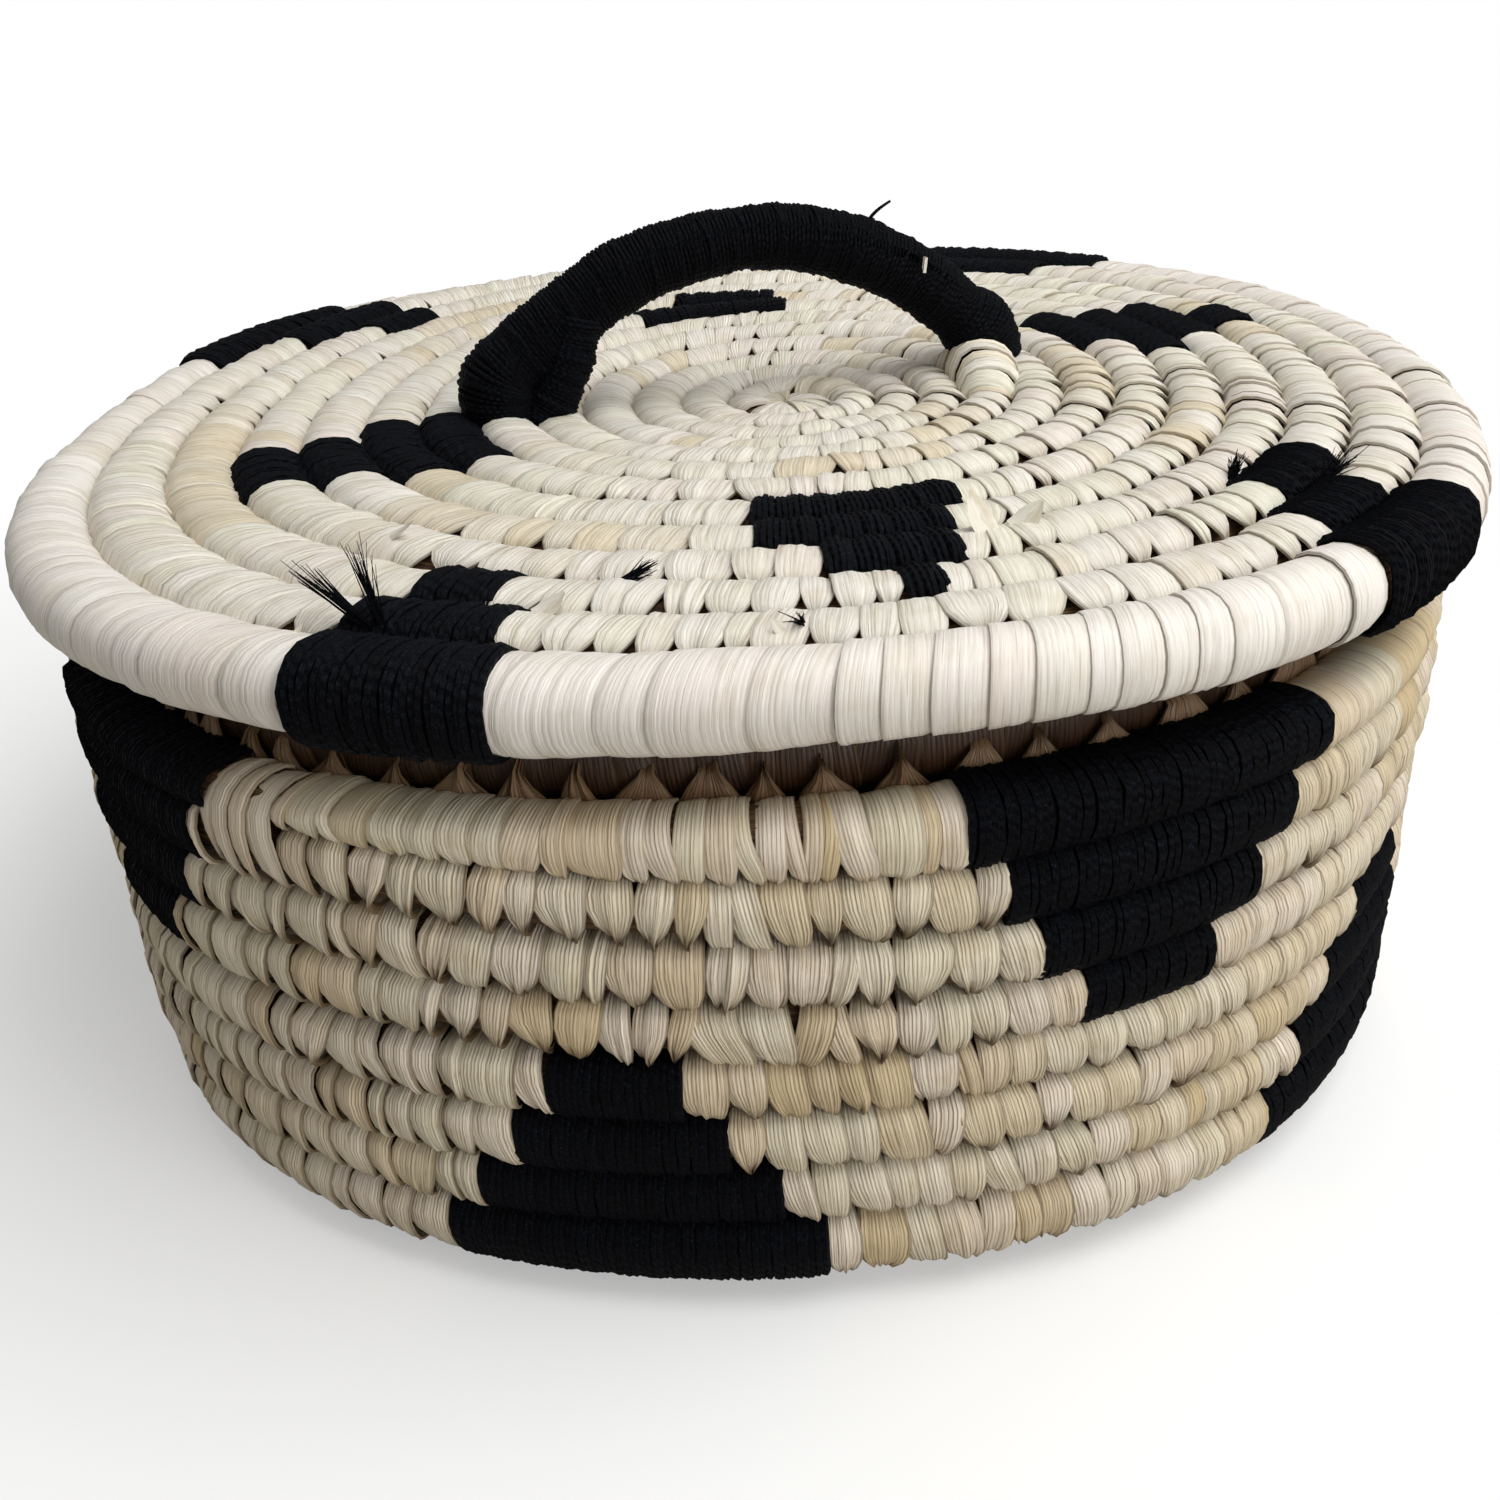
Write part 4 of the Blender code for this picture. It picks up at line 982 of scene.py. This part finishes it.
def smooth_line(knots, count):
    """Points at even steps along a smooth line through the knots."""
    knots = np.array(knots)
    padded = np.concatenate([2 * knots[:1] - knots[1:2], knots, 2 * knots[-1:] - knots[-2:-1]])
    fine = []
    share = np.linspace(0, 1, 40, endpoint=False)[:, None]
    for before, start, end, after in zip(padded, padded[1:], padded[2:], padded[3:]):
        fine.append(0.5 * (2 * start + (end - before) * share
                           + (2 * before - 5 * start + 4 * end - after) * share ** 2
                           + (3 * start - before - 3 * end + after) * share ** 3))
    fine = np.concatenate(fine + [knots[-1:]])
    length = run_along(fine)
    return points_at(np.linspace(0, length[-1], count), length, fine)


def line_frames(points):
    """Side and lift directions along a line that stays in one upright plane."""
    ahead = np.gradient(points, axis=0)
    ahead /= np.linalg.norm(ahead, axis=1)[:, None]
    level = points[-1] - points[0]
    side = np.cross(level, UP)
    side /= np.linalg.norm(side)
    side = np.zeros_like(points) + side
    return side, np.cross(side, ahead)


def tube_along(points, radii, sides=6, flatness=1.0, facing=(0.31, 0.57, 0.76)):
    """Tube along points, with a radius at each; round, or flat with its face one way."""
    ahead = np.gradient(points, axis=0)
    ahead /= np.linalg.norm(ahead, axis=1)[:, None]
    reference = np.zeros_like(points) + np.array(facing)
    side = np.cross(ahead, reference)
    side /= np.linalg.norm(side, axis=1)[:, None]
    lift = np.cross(side, ahead) * flatness
    angle = math.tau * np.arange(sides) / sides
    round_it = side[:, None] * np.cos(angle)[:, None] + lift[:, None] * np.sin(angle)[:, None]
    ring = points[:, None] + radii[:, None, None] * round_it
    quads, uv = tube_faces(len(points), sides, run_along(points) / MM, 1 / sides)
    return ring.reshape(-1, 3), quads, uv


def tubes_object(name, tubes):
    """One object from several tubes."""
    rings, faces, places = zip(*tubes)
    sizes = [len(ring) for ring in rings]
    starts = np.cumsum([0] + sizes[:-1])
    shades = np.ones((sum(sizes), 4))
    shades[:, 0] = np.repeat(np.arange(len(sizes)) * 0.377 % 1.0, sizes)
    return mesh_object(name, np.concatenate(rings),
                       np.concatenate([quads + start for quads, start in zip(faces, starts)]),
                       np.concatenate(places), shades)


def handle_spot(along_share, rise_share):
    """Point in the handle's upright plane."""
    spot = LEFT_FOOT + (RIGHT_FOOT - LEFT_FOOT) * along_share
    return spot + UP * CREST_HEIGHT * rise_share


def wound_thread(line, girth, first_share, last_share, pitch, thread_radius, draws, lumps):
    """A thread wound round a line from one share of its length to another."""
    length = run_along(line)
    begin, end = first_share * length[-1], last_share * length[-1]
    turns = abs(end - begin) / pitch
    count = int(turns * WOUND_STOPS)
    at = np.linspace(begin, end, count)
    angle = math.tau * np.linspace(0, turns, count)
    spot, side, lift = (points_at(at, length, values) for values in (line, *line_frames(line)))
    radius = girth(at / length[-1]) + lumps * waver(at / length[-1], 5, (3.1, 7.7, 13.0))
    radius = radius + THREAD_FUZZ * draws.normal(size=count)
    points = spot + radius[:, None] * (side * np.cos(angle)[:, None] + lift * np.sin(angle)[:, None])
    radii = thread_radius * (1 + 0.12 * waver(at / length[-1], 6, (31.0, 57.0)))
    radii[:2] = radii[-2:] = THREAD_END_RADIUS
    return tube_along(points, radii)


draws = np.random.RandomState(91)
handle_line = smooth_line([handle_spot(*shares) for shares in HANDLE_POINTS_SHARES], 160)


def handle_girth(share):
    """Radius of the wound thread's line along the arch, thinner at its crest."""
    return np.interp(share, HANDLE_GIRTH_SHARES, HANDLE_GIRTHS)


main_wind = wound_thread(handle_line, handle_girth, 0.0, 1.0, WOUND_PITCH, WOUND_THREAD_RADIUS, draws,
                         lumps=HANDLE_LUMPS)
# A few loose windings cross the dense ones: start and end along the arch, and pitch
OVER_WINDS = ((0.05, 0.50, 6.3 * MM), (0.95, 0.42, 7.7 * MM), (0.30, 0.85, 9.1 * MM))
OVER_WIND_LIFT = 0.25 * MM
over_winds = [wound_thread(handle_line, lambda share: handle_girth(share) + OVER_WIND_LIFT, start, end,
                           pitch, WOUND_THREAD_RADIUS * 0.8, draws, lumps=HANDLE_LUMPS)
              for start, end, pitch in OVER_WINDS]
handle_yarn = tubes_object("handle_yarn_winding", [main_wind] + over_winds)
finish(handle_yarn, wool, "lid", "black_yarn", "handle_yarn_wrap")

core_radii = handle_girth(np.linspace(0, 1, len(handle_line))) - CORE_DEPTH
handle_core = tubes_object("handle_grass_core", [tube_along(handle_line, core_radii, sides=16)])
finish(handle_core, wool, "lid", "black_yarn", "handle_core")


def foot_girth(share, first_share, last_share, width):
    """Radius of the yarn heaped over a foot, fullest near its middle."""
    along = np.clip((share - first_share) / (last_share - first_share), 0.0, 1.0)
    return handle_girth(share) + width * np.sin(math.pi * np.clip(along, 0.10, 0.92)) ** 0.7


def lobe_tubes(knots, girth_radius, draws):
    """A thick strand of yarn along a short curve beside the left foot, with thread round it."""
    level = RIGHT_FOOT - LEFT_FOOT
    level = level / np.linalg.norm(level)
    toward_viewer = np.cross(level, UP)
    spots = [LEFT_FOOT + level * along * MM + UP * rise * MM + toward_viewer * LOBE_FORWARD
             for along, rise in knots]
    line = smooth_line(spots, 40)
    radii = np.full(len(line), girth_radius - CORE_DEPTH)
    radii[[0, -1]] = CORE_END_RADIUS
    thread = wound_thread(line, lambda share: girth_radius + 0 * share, 0.0, 1.0, WOUND_PITCH,
                          WOUND_THREAD_RADIUS, draws, lumps=LOBE_LUMPS)
    return [tube_along(line, radii, sides=14), thread]


# The left lashing bulges toward the viewer: places along and above the foot, in millimetres
LOBE_KNOTS = ((2.5, -7.0), (4.0, -3.5), (7.2, 1.8), (10.0, 7.0), (12.0, 12.0), (13.5, 18.0))
LOBE_FORWARD = 3.0 * MM
LOBE_RADIUS = 4.9 * MM
LOBE_LUMPS = 0.3 * MM
HEAP_DEPTH = 0.25 * MM
# Each foot: its side, its stretch of the arch and how deep the yarn is heaped there
FEET = (("left", 0.0, 0.15, 0.7 * MM), ("right", 0.90, 1.0, 1.0 * MM))
for side_name, first_share, last_share, width in FEET:
    def girth(share, ends=(first_share, last_share, width)):
        return foot_girth(share, *ends)

    shares = np.linspace(first_share, last_share, 24)
    heap_line = points_at(shares, np.linspace(0, 1, len(handle_line)), handle_line)
    heap_radii = girth(shares) - HEAP_DEPTH
    heap_radii[[0, -1]] = CORE_END_RADIUS
    foot_winds = [tube_along(heap_line, heap_radii, sides=20)]
    for start, end, pitch, lumps in (
            (first_share, last_share, 0.85 * MM, 0.5 * MM),
            (first_share, last_share, 3.4 * MM, 0.5 * MM),
            (last_share, first_share, 5.1 * MM, 0.4 * MM)):
        foot_winds.append(wound_thread(handle_line, girth, start, end, pitch, WOUND_THREAD_RADIUS,
                                       draws, lumps))
    if side_name == "left":
        foot_winds += lobe_tubes(LOBE_KNOTS, LOBE_RADIUS, draws)
    lashing = tubes_object("handle_lashing_yarn_" + side_name, foot_winds)
    finish(lashing, wool, "lid", "black_yarn", "handle_lashing_" + side_name)


# Trim. Yarn ends stick out of the patches as small tufts, a few leaf ends lie loose, and one row
# swells in wide wraps over the handle's right foot. Each end is rooted in its row.

def lid_top_spot(degrees, rows_in):
    """Point on the wraps of the lid at an angle, some rows in from the rim's middle."""
    rim_turn = LID_END_TURN - (LID_END_TURN + degrees / 360) % 1.0
    whole = round(rows_in)
    centre, shown, out, _, thick, half_row = lid_place(np.array([rim_turn - whole]))
    aside = rows_in - whole
    return (centre - out * aside * 2 * half_row + shown * thick * math.sqrt(1 - 2 * aside ** 2))[0]


STRAND_RADIUS = 0.16 * MM
STRAND_SCATTER = 0.35 * MM
STRAND_DROOP = 1.0 * MM


def tuft_tubes(root, heading, length, strands, spread, draws):
    """Thin strands that fan out from one root."""
    tubes = []
    heading = np.array(heading) / np.linalg.norm(heading)
    for _ in range(strands):
        lean = heading + spread * draws.normal(size=3)
        bend = spread * 0.8 * draws.normal(size=3)
        reach = length * draws.uniform(0.65, 1.05)
        share = np.linspace(0.0, 1.0, 7)[:, None]
        line = root + reach * (lean * share + bend * share ** 2) + draws.normal(size=3) * STRAND_SCATTER
        line[:, 2] = np.maximum(line[:, 2], root[2] - STRAND_DROOP)
        tubes.append(tube_along(line, STRAND_RADIUS * (1.05 - share[:, 0] * 0.75), sides=4))
    return tubes


# Yarn ends: angle, rows in, heading, length, strands and how far they spread
YARN_TUFTS = (
    (-115.3, 0.62, (-0.95, 0.45, 0.75), 15.0, 26, 0.05),
    (-114.8, 0.66, (-0.22, 0.10, 1.0), 14.0, 28, 0.07),
    (-102.4, 2.38, (0.80, 0.35, 0.40), 5.5, 30, 0.12),
    (-45.2, 2.55, (0.30, 0.35, 0.80), 4.5, 40, 0.16),
    (-42.6, 1.40, (0.75, 0.35, 0.65), 6.5, 60, 0.18),
    (-89.0, 0.85, (-0.4, -0.5, 0.5), 3.0, 16, 0.30),
)
TAIL_SHARE = 0.715
TAIL_RADIUS = 0.45 * MM
draws = np.random.RandomState(95)
tufts = []
for degrees, rows_in, heading, length, strands, spread in YARN_TUFTS:
    tufts += tuft_tubes(lid_top_spot(degrees, rows_in), heading, length * MM, strands, spread, draws)
share = np.linspace(0.0, 1.0, 12)[:, None]
tail = handle_line[int(TAIL_SHARE * len(handle_line))] + UP * HANDLE_GIRTHS[3] \
    + np.array((4.8, 0.0, 1.0)) * MM * share ** 1.7 + UP * 3.8 * MM * share ** 0.7
tufts.append(tube_along(tail, TAIL_RADIUS * (1.1 - 0.5 * share[:, 0])))
yarn_trim = tubes_object("yarn_tufts", tufts)
finish(yarn_trim, wool, "lid", "black_yarn")

# Leaf ends: angle, rows in, heading, length, half width and the way the leaf's face looks
LEAF_ENDS = (
    (-72.0, 2.95, (-0.5, 0.25, 0.8), 7.0, 2.3, (0.5, -0.8, 0.4)),
    (-69.5, 3.05, (0.7, 0.1, 0.45), 6.5, 2.0, (-0.3, -0.8, 0.6)),
    (-107.0, 1.45, (0.8, 0.1, 0.35), 6.0, 1.5, (-0.2, -0.7, 0.7)),
    (-90.0, 0.70, (-0.5, -0.2, 0.6), 4.0, 0.9, (0.3, -0.8, 0.5)),
    (-127.4, 2.77, (0.9, -0.3, 0.25), 9.0, 1.3, (0.0, -0.3, 0.9)),
    (-119.0, 0.20, (0.6, 0.3, 0.3), 3.0, 0.5, (0.0, -0.6, 0.8)),
)
LEAF_END_DEPTH = 0.8 * MM
leaf_ends = []
for degrees, rows_in, heading, length, half_width, facing in LEAF_ENDS:
    root = lid_top_spot(degrees, rows_in) - UP * LEAF_END_DEPTH
    line = root + length * MM * (np.array(heading) * share + UP * 0.25 * share ** 2)
    widths = half_width * MM * np.clip(1.15 - share[:, 0] ** 3, 0.1, 1.0)
    leaf_ends.append(tube_along(line, widths, sides=4, flatness=0.12, facing=facing))
# Two bits of straw caught in the handle's wool: from where, how far aside, heading, length and
# half width
STRAW_BITS = (
    (handle_line[int(0.80 * len(handle_line))], (1.0, -6.6, 2.5), (0.1, -0.1, 1.0), 3.2, 0.5),
    (LEFT_FOOT, (-3.5, -8.2, 0.8), (0.35, -0.2, -0.6), 2.6, 0.6),
)
for spot, aside, heading, length, half_width in STRAW_BITS:
    line = spot + np.array(aside) * MM + length * MM * np.array(heading) * share
    leaf_ends.append(tube_along(line, np.full(12, half_width * MM), sides=4))
leaf_trim = tubes_object("leaf_ends", leaf_ends)
finish(leaf_trim, lid_leaf, "lid", "palm_leaf")

FOOT_SWELL_ROW = 8
FOOT_SWELL_DEGREES = (-12.0, 26.0)
FOOT_SWELL_STRIP_WIDTH = 3.8 * MM
FOOT_SWELL_RISE = 2.6 * MM


def foot_swell_place(turn):
    """The lid's coil where it swells over the handle's right foot."""
    first, last = FOOT_SWELL_DEGREES
    past = np.clip((degrees_at(-turn) - first) / (last - first), 0.0, 1.0)
    swell = np.sin(math.pi * past) ** 0.8
    centre, shown, out, radius, thick, half_row = lid_place(turn)
    centre = centre + shown * (FOOT_SWELL_RISE * swell)[..., None]
    return centre, shown, out, radius, thick * (1 + 0.55 * swell), half_row * (1 + 0.30 * swell)


draws = np.random.RandomState(97)
(swell_start, swell_end), = lid_spans(((FOOT_SWELL_ROW,) + FOOT_SWELL_DEGREES,))
middles, half_widths = strip_run(foot_swell_place, swell_start, swell_end, FOOT_SWELL_STRIP_WIDTH, draws)
foot_swell = wrap_strips("lid_foot_swell_wraps", foot_swell_place, middles, half_widths, draws,
                         LID_SMOOTH_LOOP_SHARES, flipped=True, bow=0.4 * MM, lean=1.0 * MM, pleat=0.2 * MM)
finish(foot_swell, lid_leaf, "lid", "palm_leaf", "lid_coil")


# Camera, floor and light. The camera stands where the photograph was taken: close above the
# basket's front, a 35 mm lens on a 36 mm sensor, looking down and a little turned and rolled.

WORLD_STRENGTH = 0.33
LAMP_SIZE = 0.9
CAMERA_SPOT = (0.0, -319.99 * MM, 92.35 * MM + LID_HEIGHT)
CAMERA_YAW = 0.0116
CAMERA_PITCH = 0.5094
CAMERA_ROLL = -0.0561
camera_data = bpy.data.cameras.new("photo_camera")
camera_data.lens = 35.0
camera_data.sensor_width = 36.0
camera_data.clip_start = 0.01
back = Vector((math.sin(CAMERA_YAW) * math.cos(CAMERA_PITCH),
               -math.cos(CAMERA_YAW) * math.cos(CAMERA_PITCH), math.sin(CAMERA_PITCH)))
level_right = Vector((math.cos(CAMERA_YAW), math.sin(CAMERA_YAW), 0.0))
level_up = back.cross(level_right)
right = level_right * math.cos(CAMERA_ROLL) + level_up * math.sin(CAMERA_ROLL)
upward = -level_right * math.sin(CAMERA_ROLL) + level_up * math.cos(CAMERA_ROLL)
camera = bpy.data.objects.new("photo_camera", camera_data)
camera.matrix_world = Matrix.Translation(CAMERA_SPOT) @ Matrix((right, upward, back)).transposed().to_4x4()
bpy.context.scene.collection.objects.link(camera)
bpy.context.scene.camera = camera

# The floor is a pale studio table. Toward its rim it turns into plain white, so that no
# horizon shows, and the lit table near the basket keeps the soft shadow.
bpy.ops.object.select_all(action="DESELECT")
bpy.ops.mesh.primitive_circle_add(vertices=96, radius=6.0, fill_type="NGON", location=(0.0, 0.0, 0.0))
floor = bpy.context.object
floor.name = "floor"
paper, paper_shader = new_material("pale_floor")
place = node(paper, "ShaderNodeTexCoord").outputs["Object"]
reach = node(paper, "ShaderNodeVectorMath", {0: place}, operation="LENGTH").outputs["Value"]
seen = node(paper, "ShaderNodeLightPath").outputs["Is Camera Ray"]
tone = node(paper, "ShaderNodeMix", {0: seen, 6: linear("#B4B0A8"), 7: linear("#FAFAF8")},
            data_type="RGBA")
wire(paper, paper_shader, {"Base Color": tone.outputs[2], "Roughness": 0.95, "Specular IOR Level": 0.1})
glow = node(paper, "ShaderNodeEmission", {"Strength": 1.0})
far_share = node(paper, "ShaderNodeMapRange", {0: reach, 1: 0.20, 2: 0.42, 3: 0.35, 4: 1.0})
seen_share = node(paper, "ShaderNodeMath", {0: far_share, 1: seen}, operation="MULTIPLY")
both = node(paper, "ShaderNodeMixShader", {0: seen_share, 1: paper_shader, 2: glow})
wire(paper, paper.node_tree.nodes["Material Output"], {"Surface": both})
floor.data.materials.append(paper)

world = bpy.data.worlds.new("studio")
bpy.context.scene.world = world
world.use_nodes = True
ray = node(world, "ShaderNodeLightPath").outputs
seen = node(world, "ShaderNodeMath", {0: ray["Is Camera Ray"], 1: ray["Is Transmission Ray"]},
            operation="MAXIMUM")
strength = node(world, "ShaderNodeMapRange", {0: seen, 3: WORLD_STRENGTH, 4: 1.0})
wire(world, world.node_tree.nodes["Background"], {"Strength": strength, "Color": (1.0, 1.0, 1.0, 1.0)})

for name, spot, power in (("key", (0.48, -0.16, 1.12), 11.9), ("fill", (1.0, -1.05, 0.36), 8.9)):
    lamp_data = bpy.data.lights.new(name, "AREA")
    lamp_data.size = LAMP_SIZE
    lamp_data.energy = power
    lamp = bpy.data.objects.new(name, lamp_data)
    lamp.location = spot
    lamp.rotation_euler = (-Vector(spot)).to_track_quat("-Z", "Y").to_euler()
    bpy.context.scene.collection.objects.link(lamp)

bpy.context.scene.view_settings.view_transform = "Standard"
